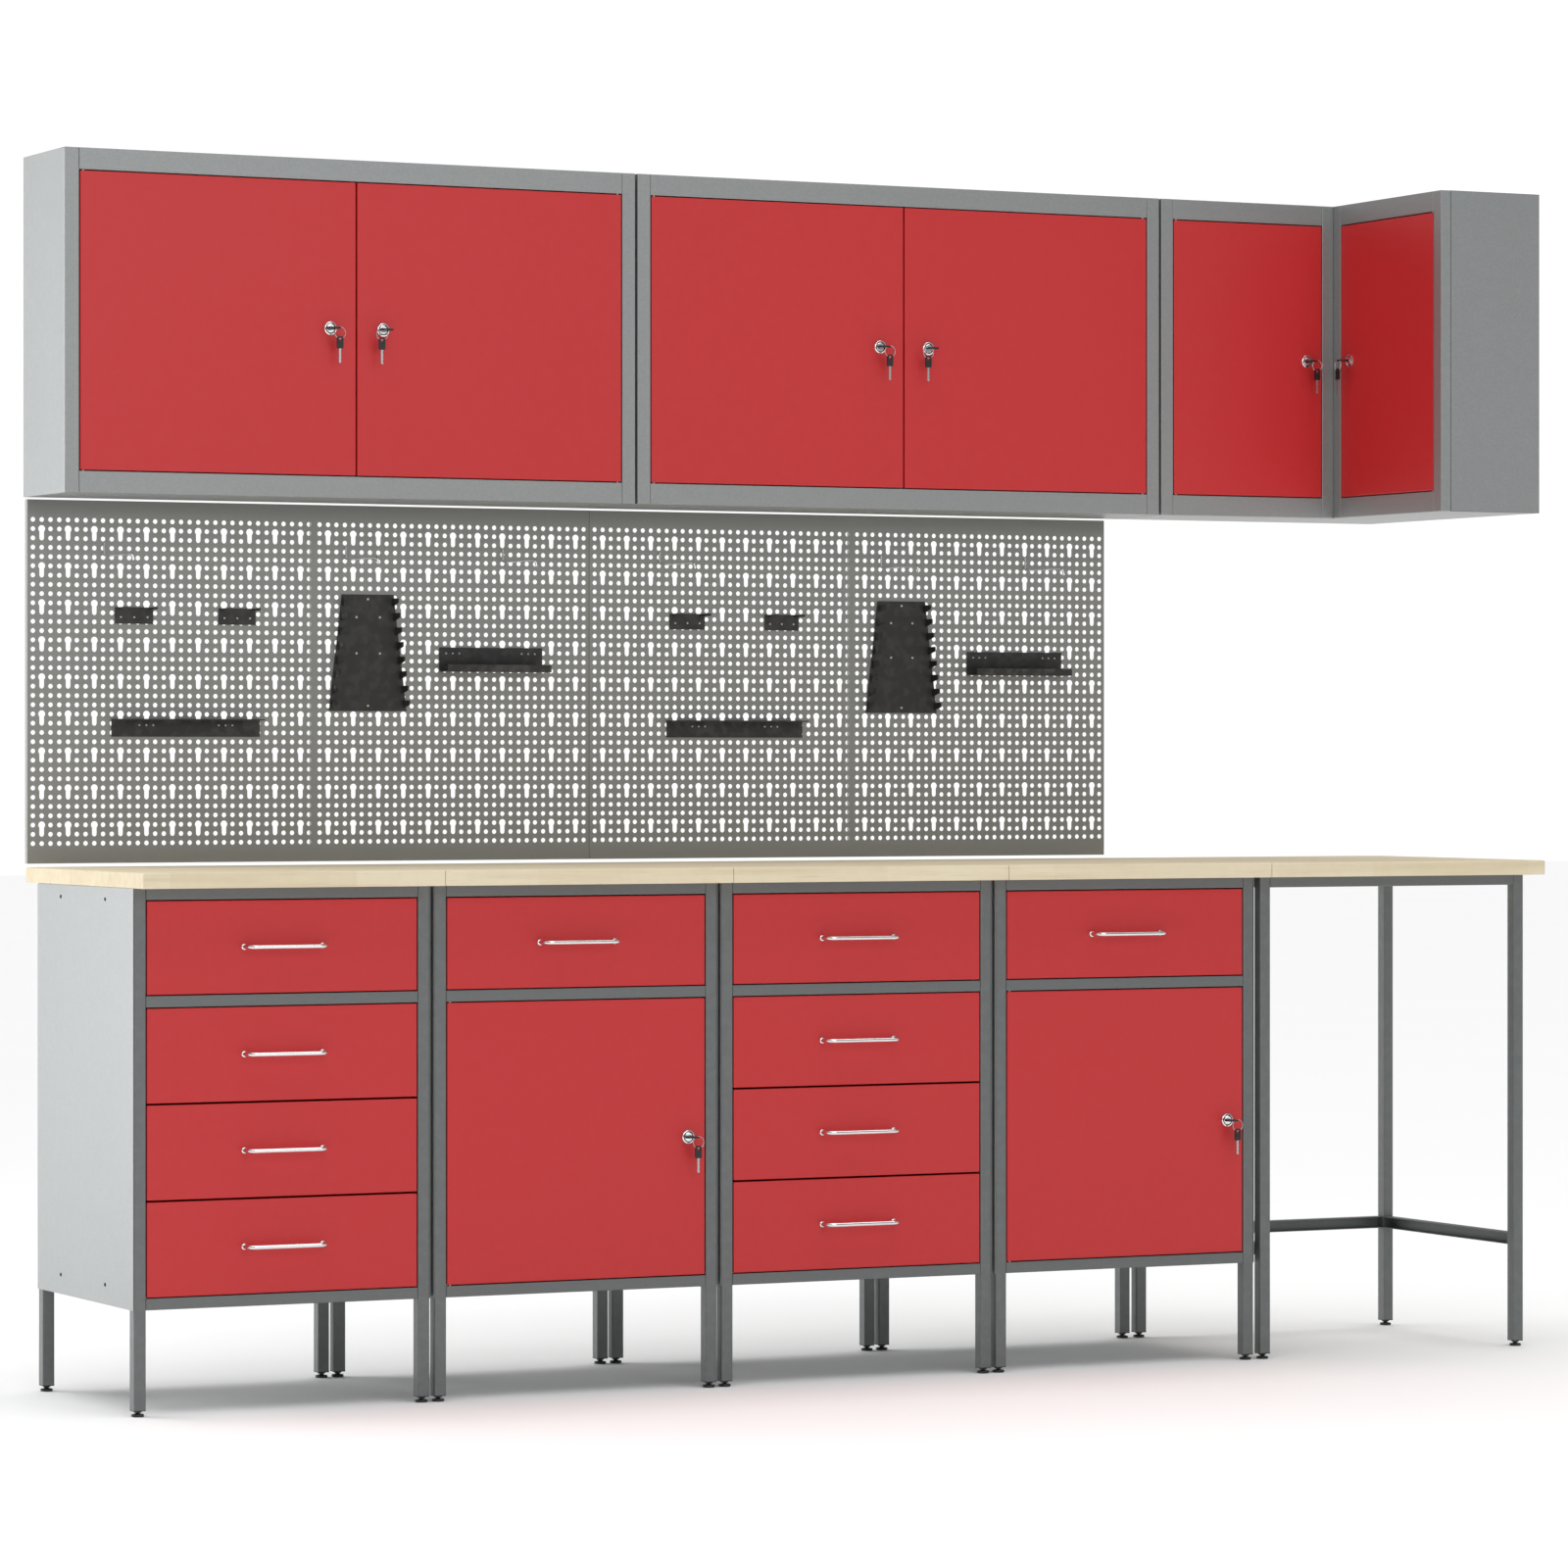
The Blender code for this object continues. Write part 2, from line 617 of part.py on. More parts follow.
def wall_cabinet_left(index):
    return BENCH_LEFT + WALL_CABINET_OFFSET + index * WALL_CABINET_PITCH


def add_face_frame(pieces, low, high, axis, face, stiles):
    """Two full-height stiles with rails between them, channels open towards the inside.

    The frame runs from low to high along axis (0 or 1); face is its outer face on the other one.
    """
    depth_axis = 1 - axis
    inward = [0, 0, 0]
    inward[depth_axis] = 1

    def add_channel(start, end, z_low, z_high):
        first, last = [0.0, 0.0, z_low], [0.0, 0.0, z_high]
        first[axis], last[axis] = start, end
        first[depth_axis], last[depth_axis] = face, face + FACE_DEPTH
        add_pan(pieces, first, last, inward, TUBE_WALL)

    stile_low, stile_high = stiles
    bottom, top = WALL_CABINET_BOTTOM, WALL_CABINET_TOP
    add_channel(low, low + stile_low, bottom, top)
    add_channel(high - stile_high, high, bottom, top)
    between = (low + stile_low - WELD, high - stile_high + WELD)
    add_channel(*between, bottom, bottom + WALL_RAIL)
    add_channel(*between, top - WALL_RAIL, top)


def pin_holes(x, y):
    return [((x, y, z), (0, 0, 1), PIN_HOLE_RADIUS, DRILL_LENGTH)
            for z in (WALL_CABINET_BOTTOM + WALL_RAIL, WALL_CABINET_TOP - WALL_RAIL)]


def make_wall_cabinet(index):
    left = wall_cabinet_left(index)
    right = left + WALL_CABINET_WIDTH
    middle = (left + right) / 2
    front, back = WALL_CABINET_FRONT, WALL_Y
    low, high = WALL_CABINET_BOTTOM, WALL_CABINET_TOP
    pieces = []
    add_face_frame(pieces, left, right, 0, front, (WALL_STILE, WALL_STILE))
    skin_front = front + FACE_DEPTH - TUBE_WALL
    add_box(pieces, (left, skin_front, low), (left + SHEET, back, high))
    add_box(pieces, (right - SHEET, skin_front, low), (right, back, high))
    add_box(pieces, (left, skin_front, low), (right, back, low + SHEET))
    add_box(pieces, (left, skin_front, high - SHEET), (right, back, high))
    add_box(pieces, (left, back - SHEET, low), (right, back, high))
    add_box(pieces, (middle - STRIKE_WIDTH / 2, front + STRIKE_DEPTHS[0], low + WALL_RAIL - WELD),
            (middle + STRIKE_WIDTH / 2, front + STRIKE_DEPTHS[1], high - WALL_RAIL + WELD))
    node = make_node(f"wall_cabinet_{index + 1}_carcase", pieces, "panel_paint")
    edge = WALL_STILE + DOOR_GAP + PIVOT_INSET
    y = front + PIVOT_DEPTH
    cut_holes(node, pin_holes(left + edge, y) + pin_holes(right - edge, y))

    door_width = (WALL_CABINET_WIDTH - DOOR_MEETING_GAP) / 2 - WALL_STILE - DOOR_GAP
    for hinge, x in (("left", left + WALL_STILE + DOOR_GAP), ("right", middle + DOOR_MEETING_GAP / 2)):
        place = door_place((x, front, WALL_DOOR_BOTTOM), "front")
        make_door(f"wall_cabinet_{index + 1}_{hinge}_door", place, door_width, WALL_DOOR_HEIGHT,
                  hinge, WALL_LOCK_INSET, WALL_LOCK_HEIGHT - WALL_DOOR_BOTTOM)


def make_corner_cabinet():
    """L-shaped wall cabinet: an arm along the wall and an arm coming forward at its right end."""
    left = wall_cabinet_left(2)
    right = left + CORNER_SIZE
    inner_x = right - WALL_CABINET_DEPTH
    inner_y = WALL_CABINET_FRONT
    back = WALL_Y
    end = back - CORNER_SIZE
    low, high = WALL_CABINET_BOTTOM, WALL_CABINET_TOP
    pieces = []
    add_face_frame(pieces, left, inner_x + TUBE_WALL, 0, inner_y, (WALL_STILE, CORNER_POST + TUBE_WALL))
    add_face_frame(pieces, end, inner_y + TUBE_WALL, 1, inner_x, (WALL_STILE, CORNER_POST + TUBE_WALL))
    for z in (low, high - SHEET):
        add_box(pieces, (left, inner_y + WELD, z), (right, back, z + SHEET))
        add_box(pieces, (inner_x + WELD, end, z), (right, back, z + SHEET))
    add_box(pieces, (left, inner_y + WELD, low), (left + SHEET, back, high))
    add_box(pieces, (left, back - SHEET, low), (right, back, high))
    add_box(pieces, (right - SHEET, end, low), (right, back, high))
    add_box(pieces, (inner_x + WELD, end, low), (right, end + SHEET, high))
    node = make_node("corner_cabinet_carcase", pieces, "panel_paint")
    edge = WALL_STILE + DOOR_GAP + PIVOT_INSET
    cut_holes(node, pin_holes(left + edge, inner_y + PIVOT_DEPTH)
              + pin_holes(inner_x + PIVOT_DEPTH, end + edge))

    width = CORNER_SIZE - WALL_CABINET_DEPTH - WALL_STILE - CORNER_POST - 2 * DOOR_GAP
    lock_height = WALL_LOCK_HEIGHT - WALL_DOOR_BOTTOM
    place = door_place((left + WALL_STILE + DOOR_GAP, inner_y, WALL_DOOR_BOTTOM), "front")
    make_door("corner_cabinet_left_door", place, width, WALL_DOOR_HEIGHT, "left",
              SIDE_LOCK_INSET, lock_height)
    place = door_place((inner_x, inner_y - CORNER_POST - DOOR_GAP, WALL_DOOR_BOTTOM), "side")
    make_door("corner_cabinet_right_door", place, width, WALL_DOOR_HEIGHT, "right",
              SIDE_LOCK_INSET, lock_height)


def make_shelf(name, left, right, front, back, bottom):
    pieces = []
    add_pan(pieces, (left, front, bottom), (right, back, bottom + SHELF_THICK), (0, 0, -1))
    make_node(name, pieces, "panel_paint")


def make_shelves():
    """One folded shelf in each door cabinet and each straight wall cabinet."""
    for index in DOOR_CABINETS:
        left, right = bay_span(index)
        make_shelf(f"cabinet_{index + 1}_shelf", left + SHELF_PLAY, right - SHELF_PLAY,
                   BENCH_FRONT + SHELF_SETBACK, BENCH_BACK - SHELF_PLAY, BASE_SHELF_HEIGHT)
    for index in range(2):
        left = wall_cabinet_left(index) + SHEET + GAP
        make_shelf(f"wall_cabinet_{index + 1}_shelf", left, left + WALL_CABINET_WIDTH - 2 * (SHEET + GAP),
                   WALL_CABINET_FRONT + SHELF_SETBACK, WALL_Y - SHEET - GAP,
                   WALL_LOCK_HEIGHT - SHELF_THICK / 2)


# ---- perforated boards and what hangs on them ----------------------------------------------------

def board_left(index):
    return BENCH_LEFT + BOARD_OFFSET + index * BOARD_PITCH


def add_hook(pieces, x, height):
    """A bent wire hook: a short upright against the board and a long prong with its tip turned up."""
    y = BOARD_FACE - HOOK_WIRE / 2
    shape = [(0, 0.024), (0, 0.004), (-0.004, 0), (0.012 - HOOK_REACH, 0),
             (0.004 - HOOK_REACH, 0.003), (-HOOK_REACH, 0.012)]
    add_rod(pieces, [Vector((x, y + out, height + up)) for out, up in shape], HOOK_WIRE)


def add_clip(pieces, left, right, bottom, top):
    """A spring clip: a back plate and two slim arms standing out from its top edge."""
    face = BOARD_FACE + WELD
    add_box(pieces, (left, face - PLATE, bottom), (right, face, top))
    for x in (left + 0.006, right - 0.008):
        add_box(pieces, (x, face - CLIP_REACH, top - 0.004), (x + 0.002, face - WELD, top - WELD))


def add_rack(pieces, left, right, bottom, top):
    """A long holder: a back plate with a level flange standing forward from its top edge."""
    face = BOARD_FACE + WELD
    add_box(pieces, (left, face - PLATE, bottom), (right, face, top))
    add_box(pieces, (left, face - RACK_REACH, top - PLATE), (right, face, top))


def add_tray(pieces, left, right, bottom, top, reach):
    """A long holder: a back plate whose lower lip stands forward and turns up."""
    face = BOARD_FACE + WELD
    lip_top = bottom + TRAY_LIP
    add_box(pieces, (left, face - PLATE, bottom), (right, face, top))
    add_box(pieces, (left, face - reach, bottom), (right, face, bottom + PLATE))
    add_box(pieces, (left, face - reach, bottom), (right, face - reach + PLATE, lip_top))


def add_spanner_rack(pieces, left, bottom, top, low_edges, high_edges):
    """A tapered back plate with forward cheeks whose fingers hold spanners."""
    face = BOARD_FACE + WELD
    outline = [(bottom, left + low_edges[0]), (bottom, left + low_edges[1]),
               (top, left + high_edges[1]), (top, left + high_edges[0])]
    add_prism(pieces, outline, 1, face - PLATE, face)
    pitch = (top - bottom) / SPANNER_FINGERS
    for step in range(SPANNER_FINGERS):
        z = bottom + pitch * step
        taper = (step + 0.5) / SPANNER_FINGERS
        for low_edge, high_edge, inward in zip(low_edges, high_edges, (1, -1)):
            x = left + low_edge + (high_edge - low_edge) * taper + inward * 0.003
            across = sorted((x, x + inward * PLATE))
            add_box(pieces, (across[0], face - SPANNER_REACH, z + 0.004),
                    (across[1], face - WELD, z + pitch - 0.006))


def make_perforated_boards():
    """Folded boards with a stiffener channel behind the middle, and the holders fixed to them."""
    for index in range(2):
        left = board_left(index)
        middle = left + BOARD_WIDTH / 2
        top = BOARD_BOTTOM + BOARD_HEIGHT
        pieces = []
        add_pan(pieces, (left, BOARD_FACE, BOARD_BOTTOM), (left + BOARD_WIDTH, WALL_Y, top), (0, 1, 0))
        add_pan(pieces, (middle - STIFFENER_WIDTH / 2, BOARD_FACE + SHEET - WELD, BOARD_BOTTOM + 0.003),
                (middle + STIFFENER_WIDTH / 2, WALL_Y - GAP, top - 0.003), (0, 1, 0))
        for offset in HOOKS:
            add_hook(pieces, left + offset, HOOK_HEIGHT)
        for start, end in CLIPS:
            add_clip(pieces, left + start, left + end, *CLIP_HEIGHTS)
        add_rack(pieces, left + RACK_SPAN[0], left + RACK_SPAN[1], *RACK_HEIGHTS)
        add_tray(pieces, left + TRAY_SPAN[0], left + TRAY_SPAN[1], *TRAY_HEIGHTS, TRAY_REACH)
        add_spanner_rack(pieces, left, *SPANNER_HEIGHTS, SPANNER_LOW, SPANNER_HIGH)
        make_node(f"perforated_board_{index + 1}", pieces, "board_paint")


def main():
    clear_scene()
    for index in range(4):
        make_cabinet_frame(index)
        make_cabinet_shell(index)
    make_table_frame()
    make_worktops()
    make_drawers()
    make_base_doors()
    for index in range(2):
        make_wall_cabinet(index)
    make_corner_cabinet()
    make_shelves()
    make_perforated_boards()


main()
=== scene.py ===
"""Workshop wall set: base cabinets, table, worktops, tool boards and wall cabinets, finished.

Metres. +X right, +Y to the wall, +Z up.
"""

import math

import bmesh
import bpy
from mathutils import Matrix, Vector


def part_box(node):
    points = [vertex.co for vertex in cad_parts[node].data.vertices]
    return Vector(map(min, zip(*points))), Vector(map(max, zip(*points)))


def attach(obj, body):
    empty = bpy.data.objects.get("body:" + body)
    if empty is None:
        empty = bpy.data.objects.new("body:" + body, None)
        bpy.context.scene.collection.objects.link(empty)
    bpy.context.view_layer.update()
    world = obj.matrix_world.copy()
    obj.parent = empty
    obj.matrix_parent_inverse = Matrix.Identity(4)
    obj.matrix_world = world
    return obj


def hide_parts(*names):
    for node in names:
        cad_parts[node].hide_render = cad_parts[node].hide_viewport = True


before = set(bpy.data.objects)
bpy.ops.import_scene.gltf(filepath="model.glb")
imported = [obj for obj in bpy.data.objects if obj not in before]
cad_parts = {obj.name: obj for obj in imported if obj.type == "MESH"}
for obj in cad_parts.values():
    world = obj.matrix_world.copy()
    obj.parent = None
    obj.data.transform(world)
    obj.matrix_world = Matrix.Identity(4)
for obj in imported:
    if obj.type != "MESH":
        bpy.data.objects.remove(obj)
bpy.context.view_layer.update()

ROOT = "bench_and_wall_set"
LEFT, RIGHT = Vector((-1, 0, 0)), Vector((1, 0, 0))
FRONT, BACK = Vector((0, -1, 0)), Vector((0, 1, 0))
DOWN, UP = Vector((0, 0, -1)), Vector((0, 0, 1))
TO_FRONT = Matrix.Rotation(math.radians(90), 4, "X")        # turns +Z to -Y, out of a face
INTO_DOOR = Matrix.Rotation(math.radians(-90), 4, "X")      # turns +Z to +Y, into the door

# Steelwork, as cut and folded
SHEET = 0.001
TUBE = 0.020
TUBE_WALL = 0.0012
TUBE_CORNER = 0.0018
BEND = 0.0014
LEG_BOTTOM = 0.010
BODY_BOTTOM, BODY_TOP = 0.164, 0.815
MID_RAIL_TOP = 0.649
LOWER_BAY_BOTTOM, LOWER_BAY_TOP, TOP_BAY_TOP = 0.182, 0.631, 0.797
STRETCHER_BOTTOM = 0.175
FRONT_THICK = 0.015
FRONT_BEND, TRAY_BEND, SHELF_BEND, RUNNER_BEND = 0.0017, 0.0012, 0.0014, 0.0018
PANEL_EASE, HEM_EASE = 0.00035, 0.0003
RUNNER_WIDTH, RUNNER_HEIGHT, RUNNER_RISE = 0.013, 0.034, 0.045
RUNNER_TAB, RUNNER_PLAY = 0.003, 0.002     # overlap on each leg, and room beside the tray
RUNNER_WEB, RUNNER_LIP = 0.0015, 0.004
TRAY_RISE, TRAY_DROP = 0.012, 0.026
BAY_PLAY = 0.0015
PIN_REACH = 0.007
BEZEL_RISE = 0.0025
CAM_LENGTH = 0.038
WALL_STILE, WALL_RAIL, CORNER_POST = 0.024, 0.035, 0.023
FACE_DEPTH = 0.020
WALL_DEPTH = 0.200
STRIKE_HALF_WIDTH, STRIKE_DEPTHS = 0.018, (0.0165, 0.0195)
STRIKE_LAP = 0.001                         # how far the bar runs behind each rail
SMOOTH_ANGLE = math.radians(38)
HEAD_ANGLE, BLADE_ANGLE = math.radians(50), math.radians(40)


# ---- bench tools ---------------------------------------------------------------------------------

def clear_bench():
    """Leaves edit mode and lets go of everything, so the next tool only touches its own piece."""
    if bpy.context.object and bpy.context.object.mode != "OBJECT":
        bpy.ops.object.mode_set(mode="OBJECT")
    bpy.ops.object.select_all(action="DESELECT")


def hold(piece):
    clear_bench()
    piece.select_set(True)
    bpy.context.view_layer.objects.active = piece


def open_mesh(piece):
    hold(piece)
    bpy.ops.object.mode_set(mode="EDIT")
    return piece


def close_mesh():
    bpy.ops.object.mode_set(mode="OBJECT")


def pick_faces(test):
    """In edit mode, selects only the faces whose middle and outward direction pass the test."""
    bpy.ops.mesh.select_mode(type="FACE")
    bpy.ops.mesh.select_all(action="DESELECT")
    mesh = bpy.context.object.data
    bm = bmesh.from_edit_mesh(mesh)
    for face in bm.faces:
        face.select_set(test(face.calc_center_median(), face.normal))
    bmesh.update_edit_mesh(mesh)


def pick_edges(test):
    """In edit mode, selects only the edges that pass the test."""
    bpy.ops.mesh.select_mode(type="EDGE")
    bpy.ops.mesh.select_all(action="DESELECT")
    mesh = bpy.context.object.data
    bm = bmesh.from_edit_mesh(mesh)
    for edge in bm.edges:
        edge.select_set(test(edge))
    bmesh.update_edit_mesh(mesh)


def middle_of(edge):
    return (edge.verts[0].co + edge.verts[1].co) / 2


def work(piece, kind, **settings):
    """Adds a modifier and applies it."""
    hold(piece)
    modifier = piece.modifiers.new(kind.lower(), kind)
    for name, value in settings.items():
        setattr(modifier, name, value)
    bpy.ops.object.modifier_apply(modifier=modifier.name)
    return piece


def blank(low, high):
    """A block between two corners, ready to be worked."""
    clear_bench()
    low, high = Vector(low), Vector(high)
    bpy.ops.mesh.primitive_cube_add(size=1, location=(low + high) / 2, scale=high - low)
    bpy.ops.object.transform_apply(location=True, rotation=True, scale=True)
    return bpy.context.object


def eased_bar(low, high, ease=0.0006, segments=2):
    """A solid bar or flat sheet with its edges rounded over."""
    return work(blank(low, high), "BEVEL", width=ease, segments=segments, limit_method="NONE")


def folded(low, high, mouths, wall=SHEET, bend=BEND):
    """Sheet folded to a box: open towards mouths, rounded at every bend, with a real thickness."""
    piece = open_mesh(blank(low, high))
    pick_faces(lambda middle, normal: any(normal.dot(mouth) > 0.9 for mouth in mouths))
    bpy.ops.mesh.delete(type="ONLY_FACE")
    pick_edges(lambda edge: not edge.is_boundary)
    bpy.ops.mesh.bevel(offset=bend, segments=3, affect="EDGES")
    close_mesh()
    return work(piece, "SOLIDIFY", thickness=wall, offset=-1)


def turned(profile, place=Matrix.Identity(4), sides=24):
    """A round piece drawn up from one disc: profile is (radius, height) from end to end."""
    clear_bench()
    radius, height = profile[0]
    bpy.ops.mesh.primitive_circle_add(vertices=sides, radius=radius, fill_type="NGON",
                                      location=(0, 0, height))
    bpy.ops.object.transform_apply(location=True, rotation=True, scale=True)
    piece = open_mesh(bpy.context.object)
    bpy.ops.mesh.select_all(action="SELECT")
    for (old, start), (new, end) in zip(profile, profile[1:]):
        bpy.ops.mesh.extrude_region_move(TRANSFORM_OT_translate={"value": (0, 0, end - start)})
        scale = new / old
        bpy.ops.transform.resize(value=(scale, scale, 1), center_override=(0, 0, end))
    bpy.ops.mesh.select_all(action="SELECT")
    bpy.ops.mesh.normals_make_consistent(inside=False)
    close_mesh()
    piece.data.transform(place)
    return piece


def bent_wire(start, heading, radius, moves, sides=12):
    """A round wire: a number runs it straight on, and (degrees, bend radius, axis) bends it."""
    clear_bench()
    at, way = Vector(start), Vector(heading).normalized()
    turn = UP.rotation_difference(way).to_euler()
    bpy.ops.mesh.primitive_circle_add(vertices=sides, radius=radius, fill_type="NGON",
                                      location=at, rotation=turn)
    bpy.ops.object.transform_apply(location=True, rotation=True, scale=True)
    piece = open_mesh(bpy.context.object)
    bpy.ops.mesh.select_all(action="SELECT")
    for move in moves:
        if not isinstance(move, tuple):
            bpy.ops.mesh.extrude_region_move(TRANSFORM_OT_translate={"value": way * move})
            at = at + way * move
            continue
        degrees, bend_radius, axis = move
        centre = at + axis.cross(way) * bend_radius * (1 if degrees > 0 else -1)
        steps = max(3, round(abs(degrees) / 12))
        bpy.ops.mesh.spin(steps=steps, angle=-math.radians(degrees), center=centre, axis=axis)
        turn = Matrix.Rotation(math.radians(degrees), 3, axis)
        at, way = centre + turn @ (at - centre), turn @ way
    bpy.ops.mesh.select_all(action="SELECT")
    bpy.ops.mesh.remove_doubles(threshold=0.000001)
    bpy.ops.mesh.normals_make_consistent(inside=False)
    close_mesh()
    return piece


def wire_ring(centre, axis, ring_radius, wire_radius, steps=36, sides=8):
    """A closed ring of round wire, spun from one section."""
    clear_bench()
    across = axis.orthogonal().normalized()
    turn = UP.rotation_difference(axis.cross(across)).to_euler()
    bpy.ops.mesh.primitive_circle_add(vertices=sides, radius=wire_radius, fill_type="NOTHING",
                                      location=centre + across * ring_radius, rotation=turn)
    bpy.ops.object.transform_apply(location=True, rotation=True, scale=True)
    piece = open_mesh(bpy.context.object)
    bpy.ops.mesh.select_all(action="SELECT")
    bpy.ops.mesh.spin(steps=steps, angle=math.tau, center=centre, axis=axis)
    bpy.ops.mesh.select_all(action="SELECT")
    bpy.ops.mesh.remove_doubles(threshold=0.00001)
    bpy.ops.mesh.normals_make_consistent(inside=False)
    close_mesh()
    return piece


def another(piece, shift=(0, 0, 0), place=None):
    """A copy with its own mesh, moved or placed."""
    made = piece.copy()
    made.data = piece.data.copy()
    made.data.transform(place if place else Matrix.Translation(shift))
    bpy.context.scene.collection.objects.link(made)
    return made


def joined(pieces):
    if len(pieces) > 1:
        clear_bench()
        for piece in pieces:
            piece.select_set(True)
        bpy.context.view_layer.objects.active = pieces[0]
        bpy.ops.object.join()
    return pieces[0]


def smoothed(piece):
    """Rounds the shading over the small bends and keeps the large faces flat."""
    hold(piece)
    bpy.ops.object.shade_smooth_by_angle(angle=SMOOTH_ANGLE)
    return work(piece, "WEIGHTED_NORMAL", keep_sharp=True, weight=75)


def fit(piece, name, body, slot, finish, *replaced):
    """Names a smoothed piece, gives it its finish and hangs it on the body that it moves with."""
    piece.name = piece.data.name = name
    piece.data.materials.clear()
    piece.data.materials.append(finish)
    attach(piece, body)
    if replaced:
        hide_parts(*replaced)
    return piece


# ---- finishes ------------------------------------------------------------------------------------

def new_finish(name):
    made = bpy.data.materials.new(name)
    made.use_nodes = True
    tree = made.node_tree
    return made, tree, tree.nodes["Principled BSDF"]


def add_node(tree, kind, **settings):
    node = tree.nodes.new(kind)
    for name, value in settings.items():
        if name in node.inputs:
            node.inputs[name].default_value = value
        else:
            setattr(node, name, value)
    return node


def noise(tree, scale, detail=2.0, stretch=(1, 1, 1)):
    """Noise on the piece's own coordinates, drawn out by stretch."""
    place = add_node(tree, "ShaderNodeTexCoord")
    mapping = add_node(tree, "ShaderNodeMapping", Scale=stretch)
    made = add_node(tree, "ShaderNodeTexNoise", Scale=scale, Detail=detail)
    tree.links.new(place.outputs["Object"], mapping.inputs["Vector"])
    tree.links.new(mapping.outputs["Vector"], made.inputs["Vector"])
    return made.outputs["Fac"]


def spread(tree, source, low, high, start=0.3, end=0.7):
    """A value that runs from low to high as the source runs from start to end."""
    made = add_node(tree, "ShaderNodeMapRange")
    made.inputs["From Min"].default_value = start
    made.inputs["From Max"].default_value = end
    made.inputs["To Min"].default_value = low
    made.inputs["To Max"].default_value = high
    tree.links.new(source, made.inputs["Value"])
    return made.outputs["Result"]


def blend_colours(tree, amount, first, second):
    """Two colours mixed by amount; each is a socket or a plain colour.

    The amount is a socket or a plain number.
    """
    made = add_node(tree, "ShaderNodeMix", data_type="RGBA")
    if isinstance(amount, float):
        made.inputs["Factor"].default_value = amount
    else:
        tree.links.new(amount, made.inputs["Factor"])
    for socket, colour in ((made.inputs[6], first), (made.inputs[7], second)):
        if isinstance(colour, tuple):
            socket.default_value = (*colour, 1)
        else:
            tree.links.new(colour, socket)
    return made.outputs[2]


def worn_edges(tree, strength):
    """Where a corner has been rubbed: the sharp outer edges, broken up by patches."""
    shape = add_node(tree, "ShaderNodeNewGeometry")
    edge = spread(tree, shape.outputs["Pointiness"], 0.0, strength, 0.53, 0.62)
    patches = spread(tree, noise(tree, 60, 3), 0.0, 1.0, 0.45, 0.62)
    made = add_node(tree, "ShaderNodeMath", operation="MULTIPLY", use_clamp=True)
    tree.links.new(edge, made.inputs[0])
    tree.links.new(patches, made.inputs[1])
    return made.outputs["Value"]


def add_relief(tree, shader, source, distance, strength):
    bump = add_node(tree, "ShaderNodeBump", Strength=strength, Distance=distance)
    tree.links.new(source, bump.inputs["Height"])
    tree.links.new(bump.outputs["Normal"], shader.inputs["Normal"])


def shaded(colour, factor):
    return tuple(channel * factor for channel in colour)


def paint(name, colour, worn, metallic, roughness, grain, depth, speckle):
    """Stoved paint: slow drifts of tone, a fine grain in colour and relief, and rubbed corners."""
    made, tree, shader = new_finish(name)
    drift = spread(tree, noise(tree, 2.2, 2), 0.0, 1.0)
    tone = blend_colours(tree, drift, shaded(colour, 0.99), shaded(colour, 1.01))
    fine = noise(tree, grain, 2)
    flecks = spread(tree, fine, 0.0, 1.0, 0.35, 0.65)
    light = blend_colours(tree, flecks, shaded(colour, 1 - speckle), shaded(colour, 1 + speckle))
    tone = blend_colours(tree, 0.5, tone, light)
    tone = blend_colours(tree, worn_edges(tree, 0.12), tone, worn)
    tree.links.new(tone, shader.inputs["Base Color"])
    shader.inputs["Metallic"].default_value = metallic
    smudges = noise(tree, 7.0, 4)
    tree.links.new(spread(tree, smudges, roughness - 0.01, roughness + 0.015),
                   shader.inputs["Roughness"])
    add_relief(tree, shader, fine, depth, 0.08)
    return made


